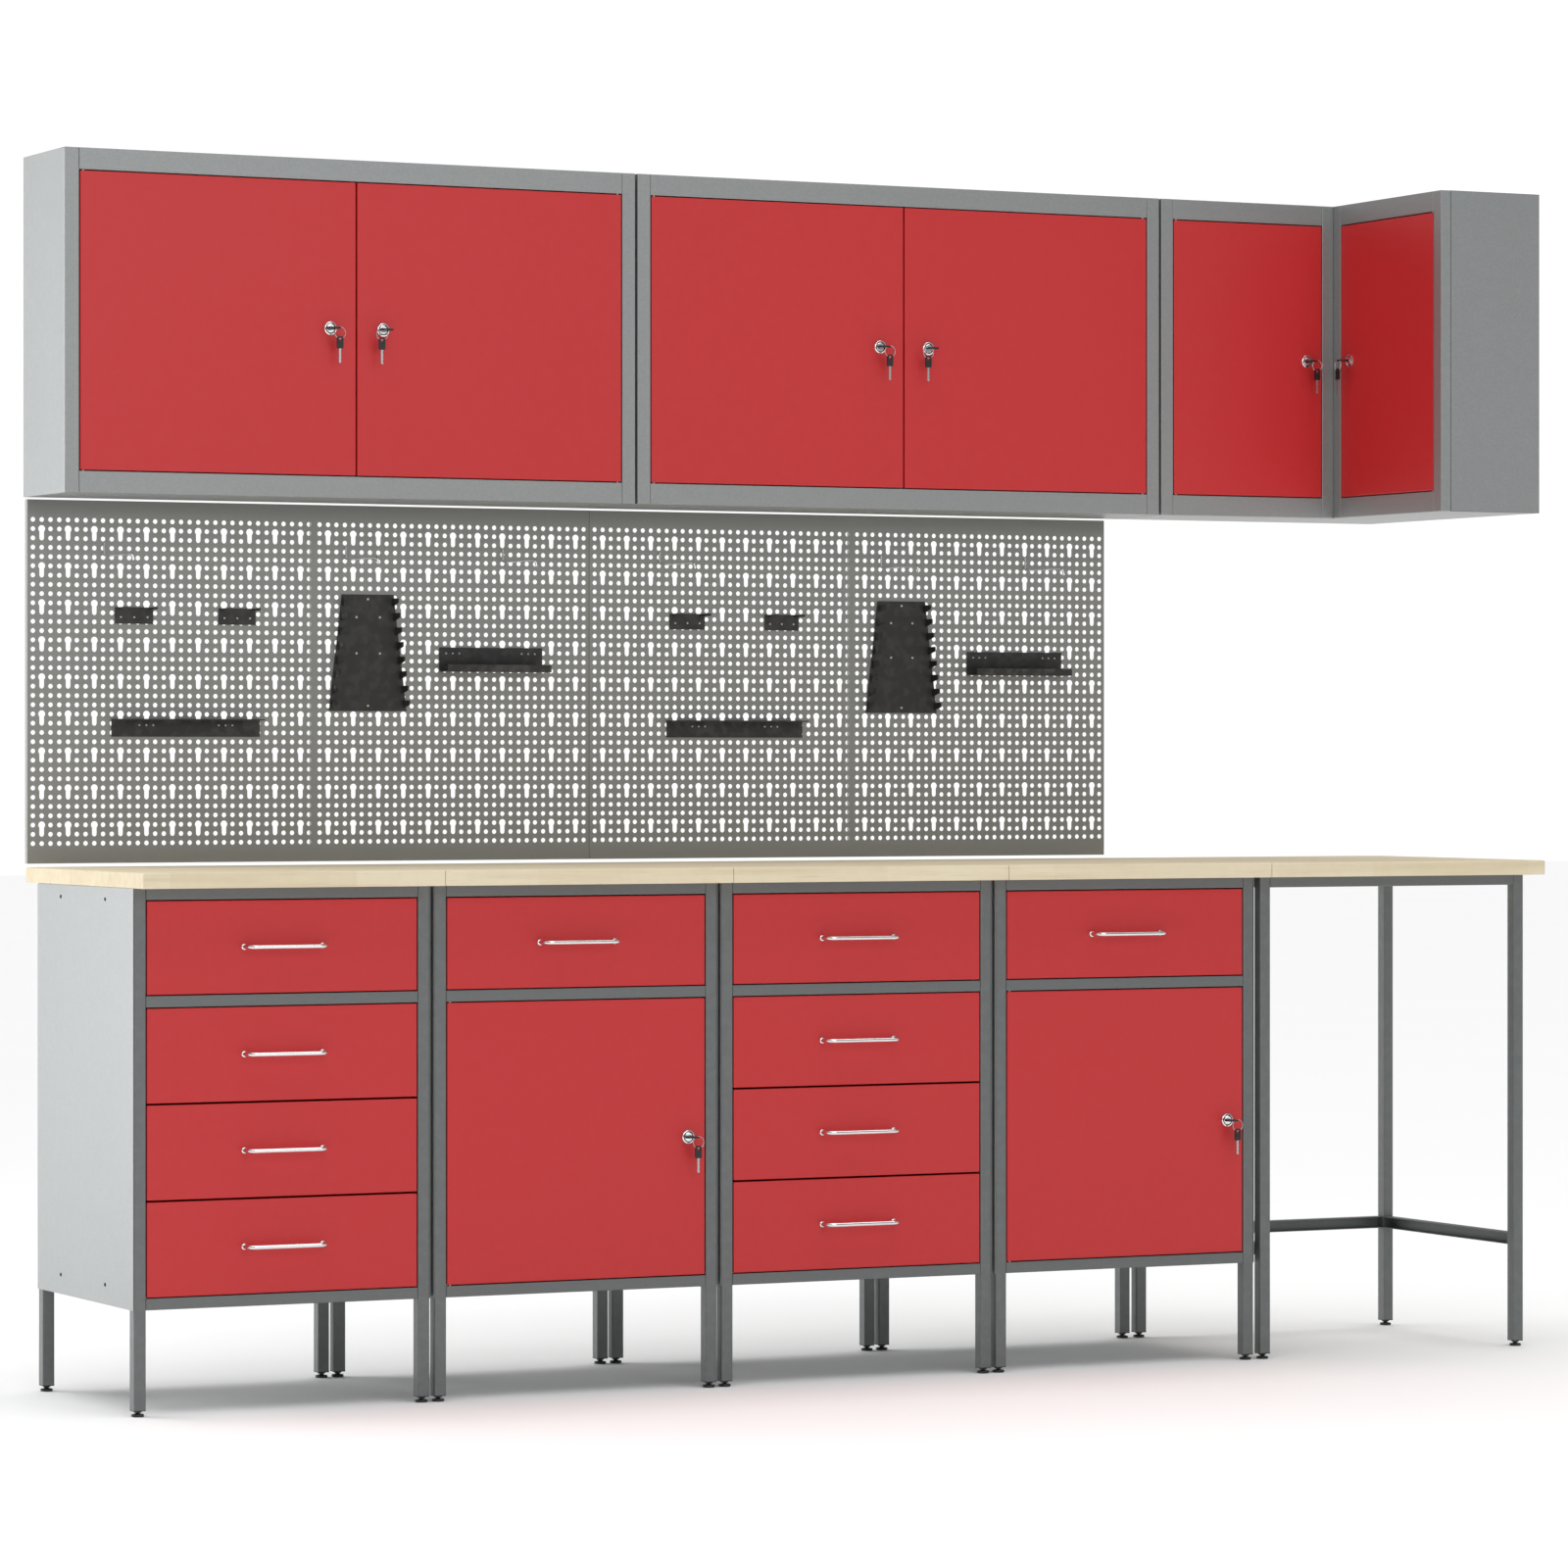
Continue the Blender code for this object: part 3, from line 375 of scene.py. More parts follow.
def worktop_wood():
    """Pale laminated board: narrow staves, fine lengthways grain, browner end grain."""
    made, tree, shader = new_finish("worktop_wood")
    place = add_node(tree, "ShaderNodeTexCoord")
    staves = add_node(tree, "ShaderNodeTexBrick", Scale=1.0)
    staves.offset = 0.37
    staves.inputs["Color1"].default_value = (0.0, 0.0, 0.0, 1)
    staves.inputs["Color2"].default_value = (1.0, 1.0, 1.0, 1)
    staves.inputs["Mortar"].default_value = (0.5, 0.5, 0.5, 1)
    staves.inputs["Mortar Size"].default_value = 0.0003
    staves.inputs["Brick Width"].default_value = 0.31
    staves.inputs["Row Height"].default_value = 0.043
    tree.links.new(place.outputs["Object"], staves.inputs["Vector"])
    pale, warm, brown = (0.82, 0.73, 0.53), (0.77, 0.67, 0.47), (0.55, 0.42, 0.25)
    tones = spread(tree, staves.outputs["Color"], 0.0, 1.0, 0.0, 1.0)
    base = blend_colours(tree, tones, pale, warm)
    grain = noise(tree, 60, 5, (0.05, 1.0, 1.0))
    base = blend_colours(tree, spread(tree, grain, 0.0, 0.35, 0.45, 0.75), base, brown)
    pores = noise(tree, 420, 3, (0.04, 1.0, 1.0))
    base = blend_colours(tree, spread(tree, pores, 0.0, 0.25, 0.58, 0.75), base, brown)
    shape = add_node(tree, "ShaderNodeNewGeometry")
    sides = add_node(tree, "ShaderNodeSeparateXYZ")
    tree.links.new(shape.outputs["True Normal"], sides.inputs[0])
    cut = add_node(tree, "ShaderNodeMath", operation="ABSOLUTE")
    tree.links.new(sides.outputs["X"], cut.inputs[0])
    base = blend_colours(tree, spread(tree, cut.outputs[0], 0.0, 0.35, 0.5, 0.95), base, brown)
    base = blend_colours(tree, worn_edges(tree, 0.4), base, (0.62, 0.50, 0.32))
    tree.links.new(base, shader.inputs["Base Color"])
    tree.links.new(spread(tree, grain, 0.48, 0.60), shader.inputs["Roughness"])
    add_relief(tree, shader, pores, 0.0002, 0.25)
    return made


def bright_metal(name, colour, roughness, grain):
    """Plated or drawn steel, with faint rubbing marks along it."""
    made, tree, shader = new_finish(name)
    marks = noise(tree, grain, 3, (0.2, 1.0, 1.0))
    tone = blend_colours(tree, spread(tree, marks, 0.0, 1.0), shaded(colour, 0.94), colour)
    tone = blend_colours(tree, worn_edges(tree, 0.3), tone, shaded(colour, 1.05))
    tree.links.new(tone, shader.inputs["Base Color"])
    shader.inputs["Metallic"].default_value = 1.0
    tree.links.new(spread(tree, marks, roughness, roughness + 0.08), shader.inputs["Roughness"])
    add_relief(tree, shader, marks, 0.00005, 0.04)
    return made


def moulded_black(name, colour, roughness, grain):
    """Black plastic or black stoved paint, with a fine texture and greyer rubbed corners."""
    made, tree, shader = new_finish(name)
    texture = noise(tree, grain, 2)
    tone = blend_colours(tree, spread(tree, texture, 0.0, 1.0), colour, shaded(colour, 1.25))
    tone = blend_colours(tree, worn_edges(tree, 0.5), tone, (0.09, 0.09, 0.09))
    tree.links.new(tone, shader.inputs["Base Color"])
    tree.links.new(spread(tree, texture, roughness - 0.05, roughness + 0.06),
                   shader.inputs["Roughness"])
    add_relief(tree, shader, texture, 0.0001, 0.3)
    return made


GREY = paint("frame_paint", (0.166, 0.176, 0.177), (0.28, 0.29, 0.29), 0.55, 0.42, 520,
             0.00006, 0.07)
PANEL = paint("panel_paint", (0.320, 0.334, 0.334), (0.46, 0.47, 0.47), 0.55, 0.42, 420,
              0.00008, 0.10)
RED = paint("red_paint", (0.56, 0.022, 0.025), (0.60, 0.10, 0.09), 0.0, 0.42, 900, 0.00002, 0.015)
BOARD = paint("board_paint", (0.275, 0.280, 0.268), (0.40, 0.40, 0.40), 0.35, 0.45, 600,
              0.00005, 0.05)
WOOD = worktop_wood()
CHROME = bright_metal("chrome", (0.86, 0.86, 0.87), 0.10, 300)
STEEL = bright_metal("steel", (0.55, 0.55, 0.56), 0.30, 120)
PLASTIC = moulded_black("black_plastic", (0.009, 0.009, 0.010), 0.42, 900)
BLACK = moulded_black("black_paint", (0.017, 0.017, 0.016), 0.55, 1200)


# ---- base frames ---------------------------------------------------------------------------------

SIDES = ("front", "back", "left", "right")


def four_corners(low, high):
    """Shifts from the front left leg to each of the four legs of a frame."""
    across, back = high.x - low.x - TUBE, high.y - low.y - TUBE
    return [(x, y, 0) for x in (0, across) for y in (0, back)]


def side_channel(low, high, side, bottom, top):
    """A rail between two legs, a channel open towards the inside of the frame."""
    if side in ("front", "back"):
        y = low.y if side == "front" else high.y - TUBE
        inward = BACK if side == "front" else FRONT
        return folded((low.x + TUBE, y, bottom), (high.x - TUBE, y + TUBE, top), (inward,),
                      TUBE_WALL, BEND)
    x = low.x if side == "left" else high.x - TUBE
    inward = RIGHT if side == "left" else LEFT
    return folded((x, low.y + TUBE, bottom), (x + TUBE, high.y - TUBE, top), (inward,),
                  TUBE_WALL, BEND)


def make_foot():
    """Levelling foot: round pad, threaded stem, thin nut and the square cap in the leg's end."""
    pad = turned([(0.0090, 0), (0.0099, 0.0007), (0.0099, 0.0030), (0.0092, 0.0038),
                  (0.0050, 0.0044), (0.0044, 0.0048), (0.0044, 0.0052)], sides=28)
    thread = [(0.0030, 0.0050)]
    for step in range(5):
        z = 0.0052 + step * 0.0008
        thread += [(0.0034, z), (0.0029, z + 0.0004)]
    stem = turned(thread + [(0.0029, 0.0092)], sides=16)
    nut = turned([(0.0056, 0.0062), (0.0062, 0.0066), (0.0062, 0.0080), (0.0056, 0.0084)], sides=6)
    cap = eased_bar((-0.0098, -0.0098, 0.0087), (0.0098, 0.0098, 0.0110), 0.0006, 2)
    return smoothed(joined([pad, stem, nut, cap]))


def make_frames():
    foot = make_foot()
    low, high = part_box("cabinet_1_frame")
    leg = smoothed(folded((low.x, low.y, LEG_BOTTOM), (low.x + TUBE, low.y + TUBE, BODY_TOP),
                          (UP, DOWN), TUBE_WALL, TUBE_CORNER))
    origin = Vector((low.x, low.y, 0))
    names = [f"cabinet_{number}_frame" for number in range(1, 5)] + ["table_frame"]
    for name in names:
        low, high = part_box(name)
        shift = Vector((low.x, low.y, 0)) - origin
        parts = [another(leg, shift + Vector(corner)) for corner in four_corners(low, high)]
        rails = [(side, TOP_BAY_TOP, BODY_TOP) for side in SIDES]
        if name == "table_frame":
            rails += [(side, STRETCHER_BOTTOM, STRETCHER_BOTTOM + TUBE)
                      for side in ("back", "left", "right")]
        else:
            rails += [(side, BODY_BOTTOM, LOWER_BAY_BOTTOM) for side in SIDES]
            rails += [("front", LOWER_BAY_TOP, MID_RAIL_TOP)]
        bars = [side_channel(low, high, side, bottom, top) for side, bottom, top in rails]
        fit(joined([smoothed(joined(bars))] + parts), name.replace("frame", "legs_and_rails"), ROOT,
            "frame_paint", GREY, name)
        feet = [another(foot, (low.x + TUBE / 2 + corner[0], low.y + TUBE / 2 + corner[1], 0))
                for corner in four_corners(low, high)]
        fit(joined(feet), name.replace("frame", "feet"), ROOT, "black_plastic", PLASTIC)
    bpy.data.objects.remove(leg)
    bpy.data.objects.remove(foot)


def drawer_names():
    """Every drawer's name, cabinet by cabinet, top one first."""
    for cabinet, count in ((1, 4), (2, 1), (3, 4), (4, 1)):
        for row in range(1, count + 1):
            yield f"cabinet_{cabinet}_drawer_{row}"


def make_runners():
    """The fixed channels beside each drawer, hung between the legs."""
    for name in drawer_names():
        drawer_low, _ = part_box(name)
        low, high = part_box(name[:9] + "_frame")
        z = drawer_low.z - BAY_PLAY + RUNNER_RISE
        start, end = low.y + TUBE - RUNNER_TAB, high.y - TUBE + RUNNER_TAB
        deep = RUNNER_WIDTH - RUNNER_PLAY
        inner_left, inner_right = low.x + TUBE, high.x - TUBE
        channels = [folded((inner_left, start, z), (inner_left + deep, end, z + RUNNER_HEIGHT),
                           (RIGHT, FRONT, BACK), RUNNER_WEB, RUNNER_BEND),
                    folded((inner_right - deep, start, z), (inner_right, end, z + RUNNER_HEIGHT),
                           (LEFT, FRONT, BACK), RUNNER_WEB, RUNNER_BEND)]
        fit(smoothed(joined(channels)), name + "_runners", ROOT, "steel", STEEL)


# ---- cabinet panels ------------------------------------------------------------------------------

SCREW_DEPTHS = (0.125, 0.330)       # from the panel's front edge
SCREW_HEIGHTS = (0.195, 0.796)
FLOOR_GAP, FLOOR_DEPTH, FLOOR_BEND = 0.0003, SHEET * 1.5, 0.0007
WORKTOP_EASE = 0.0016
HEM_INSET, HEM_START, HEM_END = 0.002, 0.0011, 0.010


def dome_screw():
    """A low domed screw head with a driver recess, its axis up."""
    return turned([(0.0030, -0.0004), (0.0030, 0.0004), (0.0026, 0.0010), (0.0018, 0.0014),
                   (0.0012, 0.0014), (0.0010, 0.0006)], sides=16)


def make_shells():
    screw = smoothed(dome_screw())
    for number in range(1, 5):
        name = f"cabinet_{number}_shell"
        low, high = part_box(name)
        left, right, floor = low.x + SHEET, high.x - SHEET, LOWER_BAY_BOTTOM + FLOOR_GAP
        parts = [eased_bar(low, (left, high.y, high.z), PANEL_EASE),
                 eased_bar((right, low.y, low.z), high, PANEL_EASE),
                 eased_bar((left, high.y - SHEET, low.z), (right, high.y, high.z), HEM_EASE),
                 folded((left, low.y + TUBE, floor), (right, high.y - TUBE, floor + FLOOR_DEPTH),
                        (DOWN,), SHEET, FLOOR_BEND)]
        fit(smoothed(joined(parts)), name.replace("shell", "panels"), ROOT, "panel_paint", PANEL,
            name)
        heads = []
        for side, x in ((-1, low.x), (1, high.x)):
            turn = Matrix.Rotation(math.radians(90 * side), 4, "Y")
            for depth in SCREW_DEPTHS:
                for z in SCREW_HEIGHTS:
                    place = Matrix.Translation((x, low.y + depth, z)) @ turn
                    heads.append(another(screw, place=place))
        fit(joined(heads), name.replace("shell", "panel_screws"), ROOT, "black_paint", BLACK)
    bpy.data.objects.remove(screw)


def make_worktops():
    for number in range(1, 6):
        name = f"worktop_{number}"
        low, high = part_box(name)
        board = smoothed(eased_bar(low, high, WORKTOP_EASE, 3))
        fit(board, name + "_board", ROOT, "worktop_wood", WOOD, name)


def make_shelves():
    """Folded shelves with a hemmed front edge."""
    names = ["cabinet_2_shelf", "cabinet_4_shelf", "wall_cabinet_1_shelf", "wall_cabinet_2_shelf"]
    for name in names:
        low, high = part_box(name)
        top = folded(low, high, (DOWN,), SHEET, SHELF_BEND)
        hem = eased_bar((low.x + HEM_INSET, low.y + HEM_START, low.z + 0.0002),
                        (high.x - HEM_INSET, low.y + HEM_END, low.z + 0.0012), HEM_EASE)
        fit(smoothed(joined([top, hem])), name + "_board", ROOT, "panel_paint", PANEL, name)


# ---- drawers -------------------------------------------------------------------------------------

HANDLE_CENTRES, HANDLE_RADIUS, HANDLE_REACH, HANDLE_BEND = 0.131, 0.0036, 0.028, 0.013
HANDLE_SEAT = 0.0003                # how far its feet run into the front
TRAY_SEAT = 0.0002                  # between the front's inner face and the tray
RIM_WIDTH, RIM_DEPTH, RIM_EASE = 0.0026, 0.0030, 0.0008
MEMBER_GAP, MEMBER_END = 0.002, 0.010


def make_handle():
    """Bow handle, its feet on the drawer front at y = 0 and its middle at x = 0, z = 0."""
    run = HANDLE_REACH - HANDLE_RADIUS - HANDLE_BEND
    bow = bent_wire((-HANDLE_CENTRES / 2, -HANDLE_SEAT, 0), FRONT, HANDLE_RADIUS,
                    [run, (90, HANDLE_BEND, UP), HANDLE_CENTRES - 2 * HANDLE_BEND,
                     (90, HANDLE_BEND, UP), run], sides=20)
    collars = []
    for side in (-1, 1):
        place = Matrix.Translation((side * HANDLE_CENTRES / 2, -HANDLE_SEAT, 0)) @ TO_FRONT
        collars.append(turned([(0.0048, 0.0), (0.0050, 0.0004), (0.0048, 0.0012), (0.0040, 0.0018)],
                              place, 20))
    return smoothed(joined([bow] + collars))


def make_drawer_body(low, high):
    """Front pan, steel tray and slide members for one drawer, in place."""
    front = folded(low, (high.x, low.y + FRONT_THICK, high.z), (BACK,), SHEET, FRONT_BEND)
    left, right = low.x - BAY_PLAY + RUNNER_WIDTH, high.x + BAY_PLAY - RUNNER_WIDTH
    floor, rim = low.z - BAY_PLAY + TRAY_RISE, high.z + BAY_PLAY - TRAY_DROP
    tray = folded((left, low.y + SHEET + TRAY_SEAT, floor), (right, high.y, rim), (UP,), SHEET,
                  TRAY_BEND)
    behind, under = low.y + FRONT_THICK, rim - RIM_DEPTH
    hems = [eased_bar((left, behind, under), (left + RIM_WIDTH, high.y, rim), RIM_EASE),
            eased_bar((right - RIM_WIDTH, behind, under), (right, high.y, rim), RIM_EASE),
            eased_bar((left, high.y - RIM_WIDTH, under), (right, high.y, rim), RIM_EASE)]
    member_low = low.z - BAY_PLAY + RUNNER_RISE + RUNNER_LIP + MEMBER_GAP
    member_high = member_low + RUNNER_HEIGHT - 2 * (RUNNER_LIP + MEMBER_GAP)
    reach = RUNNER_WIDTH - RUNNER_WEB - RUNNER_PLAY
    start, end = low.y + TUBE, high.y - MEMBER_END
    members = [folded((left - reach, start, member_low), (left, end, member_high), (RIGHT, BACK),
                      SHEET, RUNNER_BEND),
               folded((right, start, member_low), (right + reach, end, member_high), (LEFT, BACK),
                      SHEET, RUNNER_BEND)]
    return smoothed(front), smoothed(joined([tray] + hems)), smoothed(joined(members))


def make_drawers():
    handle = make_handle()
    patterns = {}
    for name in drawer_names():
        low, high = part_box(name)
        kind = name.endswith("_1")
        if kind not in patterns:
            patterns[kind] = (low, make_drawer_body(low, high))
        first, bodies = patterns[kind]
        front, tray, members = (another(piece, low - first) for piece in bodies)
        fit(front, name + "_front", name, "red_paint", RED, name)
        fit(tray, name + "_tray", name, "panel_paint", PANEL)
        fit(members, name + "_slides", name, "steel", STEEL)
        bow_low, bow_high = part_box(name + "_handle")
        place = ((bow_low.x + bow_high.x) / 2, low.y, (bow_low.z + bow_high.z) / 2)
        fit(another(handle, place), name + "_bow", name, "chrome", CHROME, name + "_handle")
    for first, bodies in patterns.values():
        for piece in bodies:
            bpy.data.objects.remove(piece)
    bpy.data.objects.remove(handle)


# ---- doors, locks and keys -----------------------------------------------------------------------

DOOR_HEM = 0.010
PIN_INSET, PIN_DEPTH = 0.006, 0.004


def make_door_pan(width, height):
    """A folded door with a hemmed rim, lower left corner at zero."""
    pan = folded((0, 0, 0), (width, FRONT_THICK, height), (BACK,), SHEET, FRONT_BEND)
    front, back = FRONT_THICK - 0.0011, FRONT_THICK - 0.0001
    right, top = width - SHEET, height - SHEET
    hems = [eased_bar((SHEET, front, SHEET), (SHEET + DOOR_HEM, back, top), HEM_EASE),
            eased_bar((right - DOOR_HEM, front, SHEET), (right, back, top), HEM_EASE),
            eased_bar((SHEET, front, SHEET), (right, back, SHEET + DOOR_HEM), HEM_EASE),
            eased_bar((SHEET, front, top - DOOR_HEM), (right, back, top), HEM_EASE)]
    return smoothed(joined([pan] + hems))


def make_door_pins(width, height, hinge):
    """The two pivot pins, on one side of a door whose lower left corner is at zero."""
    x = PIN_INSET if hinge == "left" else width - PIN_INSET
    pins = []
    for z, turn in ((0.0, 180), (height, 0)):
        place = Matrix.Translation((x, PIN_DEPTH, z)) @ Matrix.Rotation(math.radians(turn), 4, "X")
        pins.append(turned([(0.0020, -0.0020), (0.0020, 0.0058), (0.0014, PIN_REACH)], place, 14))
    return smoothed(joined(pins))


def make_lock_case():
    """The bezel on the door's face, and the threaded barrel and hex nut behind it."""
    bezel = turned([(0.0082, 0.0004), (0.0082, -0.0014), (0.0088, -BEZEL_RISE),
                    (0.0098, -BEZEL_RISE), (0.0108, -BEZEL_RISE + 0.0007), (0.0110, -0.0006),
                    (0.0110, 0.0)], INTO_DOOR, 40)
    thread = [(0.0088, 0.0012)]
    for step in range(8):
        y = 0.0020 + step * 0.0018
        thread += [(0.0090, y), (0.0086, y + 0.0009)]
    barrel = turned(thread + [(0.0086, 0.0180)], INTO_DOOR, 24)
    nut = turned([(0.0112, 0.0030), (0.0120, 0.0036), (0.0120, 0.0066), (0.0112, 0.0072)],
                 INTO_DOOR, 6)
    return smoothed(joined([bezel, barrel, nut]))


def make_plug():
    """The turning cylinder with its keyway."""
    face = -BEZEL_RISE - 0.0004
    plug = turned([(0.0066, face), (0.0072, face + 0.0005), (0.0072, 0.0180), (0.0050, 0.0184),
                   (0.0050, 0.0207)], INTO_DOOR, 32)
    open_mesh(plug)
    pick_faces(lambda middle, normal: normal.y < -0.9 and abs(middle.y - face) < 0.0001)
    bpy.ops.mesh.inset(thickness=0.0016)
    bpy.ops.transform.resize(value=(0.85, 1, 0.16), center_override=(0, face, 0))
    bpy.ops.mesh.extrude_region_move(TRANSFORM_OT_translate={"value": (0, 0.0018, 0)})
    close_mesh()
    return smoothed(plug)


def make_cam():
    """The cam on the back of the cylinder, and the nut that holds it."""
    cam = blank((-0.006, 0.0208, -0.006), (0.006, 0.0228, CAM_LENGTH))
    work(cam, "BEVEL", width=0.003, segments=4, limit_method="ANGLE", affect="EDGES")
    nut = turned([(0.0048, 0.0228), (0.0052, 0.0232), (0.0052, 0.0248), (0.0046, 0.0254)],
                 INTO_DOOR, 6)
    return smoothed(joined([cam, nut]))


def make_key_blade():
    """The part of a key between its head and the plug, standing out of the keyway."""
    return smoothed(eased_bar((-0.0042, -0.0080, -0.0009), (0.0042, -0.0014, 0.0009), 0.0004))


def make_key_head():
    """A flat moulded key head lying level, with the slot that a ring goes through."""
    head = blank((-0.0105, -0.0230, -0.0014), (0.0105, -0.0066, 0.0014))
    open_mesh(head)
    pick_edges(lambda edge: abs(edge.verts[0].co.z - edge.verts[1].co.z) > 0.001)
    bpy.ops.mesh.bevel(offset=0.0045, segments=4, affect="EDGES")
    pick_faces(lambda middle, normal: abs(normal.z) > 0.9)
    bpy.ops.mesh.inset(thickness=0.0016)
    bpy.ops.transform.resize(value=(0.94, 0.36, 1), center_override=(0, -0.0205, 0))
    return pierced_head(head)


def pierced_head(head):
    """Joins the two inset faces of a key head through it, and eases its edges."""
    bpy.ops.mesh.bridge_edge_loops()
    bpy.ops.mesh.select_all(action="SELECT")
    bpy.ops.mesh.normals_make_consistent(inside=False)
    close_mesh()
    work(head, "BEVEL", width=0.0004, segments=2, limit_method="ANGLE", angle_limit=HEAD_ANGLE)
    return smoothed(head)


RING_RADIUS, RING_WIRE, RING_DROP, RING_AHEAD = 0.0095, 0.00055, 0.0080, 0.0190
RING_ASIDE = 0.0095                 # from the lock's axis, away from the hinge
SPARE_TOP = 0.0040 - RING_DROP - RING_RADIUS
SPARE_HALF_WIDTH, SPARE_HALF_DEPTH, SPARE_LENGTH = 0.0055, 0.0015, 0.0200
HOLE_MARGIN = 0.0022
BLADE_HALF_WIDTH, BLADE_HALF_DEPTH, BLADE_LENGTH = 0.0021, 0.0006, 0.0240
BLADE_LAP = 0.0005                  # how far the blade runs into its head
CUT_START, CUT_PITCH, CUT_DEPTH, LAST_CUT = 0.003, 0.0030, 0.0009, 5


def make_hung_ring():
    """The split ring through the key head: two turns of thin wire side by side."""
    centre = Vector((0, -RING_AHEAD, -RING_DROP))
    turns = [wire_ring(centre + Vector((0, side * RING_WIRE, 0)), BACK, RING_RADIUS, RING_WIRE)
             for side in (-1, 1)]
    return smoothed(joined(turns))


def make_spare_head():
    """The spare key's moulded head, hanging from the ring, narrowed towards its hole."""
    low = Vector((-SPARE_HALF_WIDTH, -RING_AHEAD - SPARE_HALF_DEPTH, SPARE_TOP - SPARE_LENGTH))
    high = Vector((SPARE_HALF_WIDTH, -RING_AHEAD + SPARE_HALF_DEPTH, SPARE_TOP))
    head = blank(low, high)
    open_mesh(head)

    def runs_through(edge):
        return abs(edge.verts[0].co.y - edge.verts[1].co.y) > 0.001

    pick_edges(lambda edge: runs_through(edge) and middle_of(edge).z > high.z - 0.001)
    bpy.ops.mesh.bevel(offset=0.0036, segments=3, affect="EDGES")
    pick_edges(lambda edge: runs_through(edge) and middle_of(edge).z < low.z + 0.001)
    bpy.ops.mesh.bevel(offset=0.0015, segments=2, affect="EDGES")
    pick_faces(lambda middle, normal: abs(normal.y) > 0.9)
    bpy.ops.mesh.inset(thickness=HOLE_MARGIN)
    bpy.ops.transform.resize(value=(0.75, 1, 0.30), center_override=(0, 0, SPARE_TOP - HOLE_MARGIN))
    return pierced_head(head)


def make_spare_blade():
    """The spare key's cut steel blade, pointed at its tip."""
    top = SPARE_TOP - SPARE_LENGTH + BLADE_LAP
    tip = top - BLADE_LENGTH
    blade = blank((-BLADE_HALF_WIDTH, -RING_AHEAD - BLADE_HALF_DEPTH, tip),
                  (BLADE_HALF_WIDTH, -RING_AHEAD + BLADE_HALF_DEPTH, top))
    open_mesh(blade)
    pick_edges(lambda edge: abs(edge.verts[0].co.y - edge.verts[1].co.y) > 0.0005
               and middle_of(edge).z < tip + 0.001)
    bpy.ops.mesh.bevel(offset=0.0016, segments=2, affect="EDGES")
    for step in range(1, LAST_CUT + 1):
        bpy.ops.mesh.select_all(action="SELECT")
        bpy.ops.mesh.bisect(plane_co=(0, 0, top - CUT_START - step * CUT_PITCH), plane_no=(0, 0, 1))
    close_mesh()
    for vertex in blade.data.vertices:
        step = round((top - CUT_START - vertex.co.z) / CUT_PITCH)
        if vertex.co.x > 0.0015 and 1 <= step <= LAST_CUT and step % 2:
            vertex.co.x -= CUT_DEPTH
    work(blade, "BEVEL", width=0.0002, segments=1, limit_method="ANGLE", angle_limit=BLADE_ANGLE)
    return smoothed(blade)


def door_place(low, high, facing):
    """Where a door's lower left corner goes, from its box, for one facing front or left."""
    if facing == "front":
        return Matrix.Translation((low.x, low.y + BEZEL_RISE, low.z + PIN_REACH))
    return (Matrix.Translation((low.x + BEZEL_RISE, high.y, low.z + PIN_REACH))
            @ Matrix.Rotation(math.radians(-90), 4, "Z"))


def make_doors():
    doors = [(f"cabinet_{number}_door", "left", "front") for number in (2, 4)]
    for number in (1, 2):
        doors += [(f"wall_cabinet_{number}_left_door", "left", "front"),
                  (f"wall_cabinet_{number}_right_door", "right", "front")]
    doors += [("corner_cabinet_left_door", "left", "front"),
              ("corner_cabinet_right_door", "right", "side")]
    case, plug, cam = make_lock_case(), make_plug(), make_cam()
    blade, head = make_key_blade(), make_key_head()
    ring, spare_head, spare_blade = make_hung_ring(), make_spare_head(), make_spare_blade()
    patterns = {}
    for name, hinge, facing in doors:
        low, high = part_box(name)
        width = high.x - low.x if facing == "front" else high.y - low.y
        height = high.z - low.z - 2 * PIN_REACH
        place = door_place(low, high, facing)
        kind = (round(width, 4), round(height, 4), hinge)
        if kind not in patterns:
            patterns[kind] = (make_door_pan(width, height), make_door_pins(width, height, hinge))
        pan, pins = (another(piece, place=place) for piece in patterns[kind])
        fit(pan, name + "_pan", name, "red_paint", RED, name)
        fit(pins, name + "_pins", name, "steel", STEEL)
        lock = name.replace("_door", "_lock")
        lock_low, lock_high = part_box(lock)
        turning_height = lock_high.z - CAM_LENGTH
        if facing == "front":
            at = Vector(((lock_low.x + lock_high.x) / 2, low.y + BEZEL_RISE, turning_height))
        else:
            at = Vector((low.x + BEZEL_RISE, (lock_low.y + lock_high.y) / 2, turning_height))
        seat = Matrix.Translation(at) @ place.to_3x3().to_4x4()
        fit(another(case, place=seat), lock + "_case", name, "chrome", CHROME)
        fit(another(plug, place=seat), lock + "_plug", lock, "chrome", CHROME, lock)
        fit(another(cam, place=seat), lock + "_cam", lock, "steel", STEEL)
        fit(another(blade, place=seat), lock + "_key_shank", lock, "steel", STEEL)
        fit(another(head, place=seat), lock + "_key_head", lock, "black_plastic", PLASTIC)
        hung = seat @ Matrix.Translation((RING_ASIDE if hinge == "left" else -RING_ASIDE, 0, 0))
        fit(another(ring, place=hung), lock + "_ring", name, "steel", STEEL)
        fit(another(spare_head, place=hung), lock + "_spare_key_head", name, "black_plastic",
            PLASTIC)
        fit(another(spare_blade, place=hung), lock + "_spare_key_blade", name, "steel", STEEL)
    for piece in [case, plug, cam, blade, head, ring, spare_head, spare_blade]:
        bpy.data.objects.remove(piece)
    for pan, pins in patterns.values():
        bpy.data.objects.remove(pan)
        bpy.data.objects.remove(pins)


# ---- wall cabinets -------------------------------------------------------------------------------

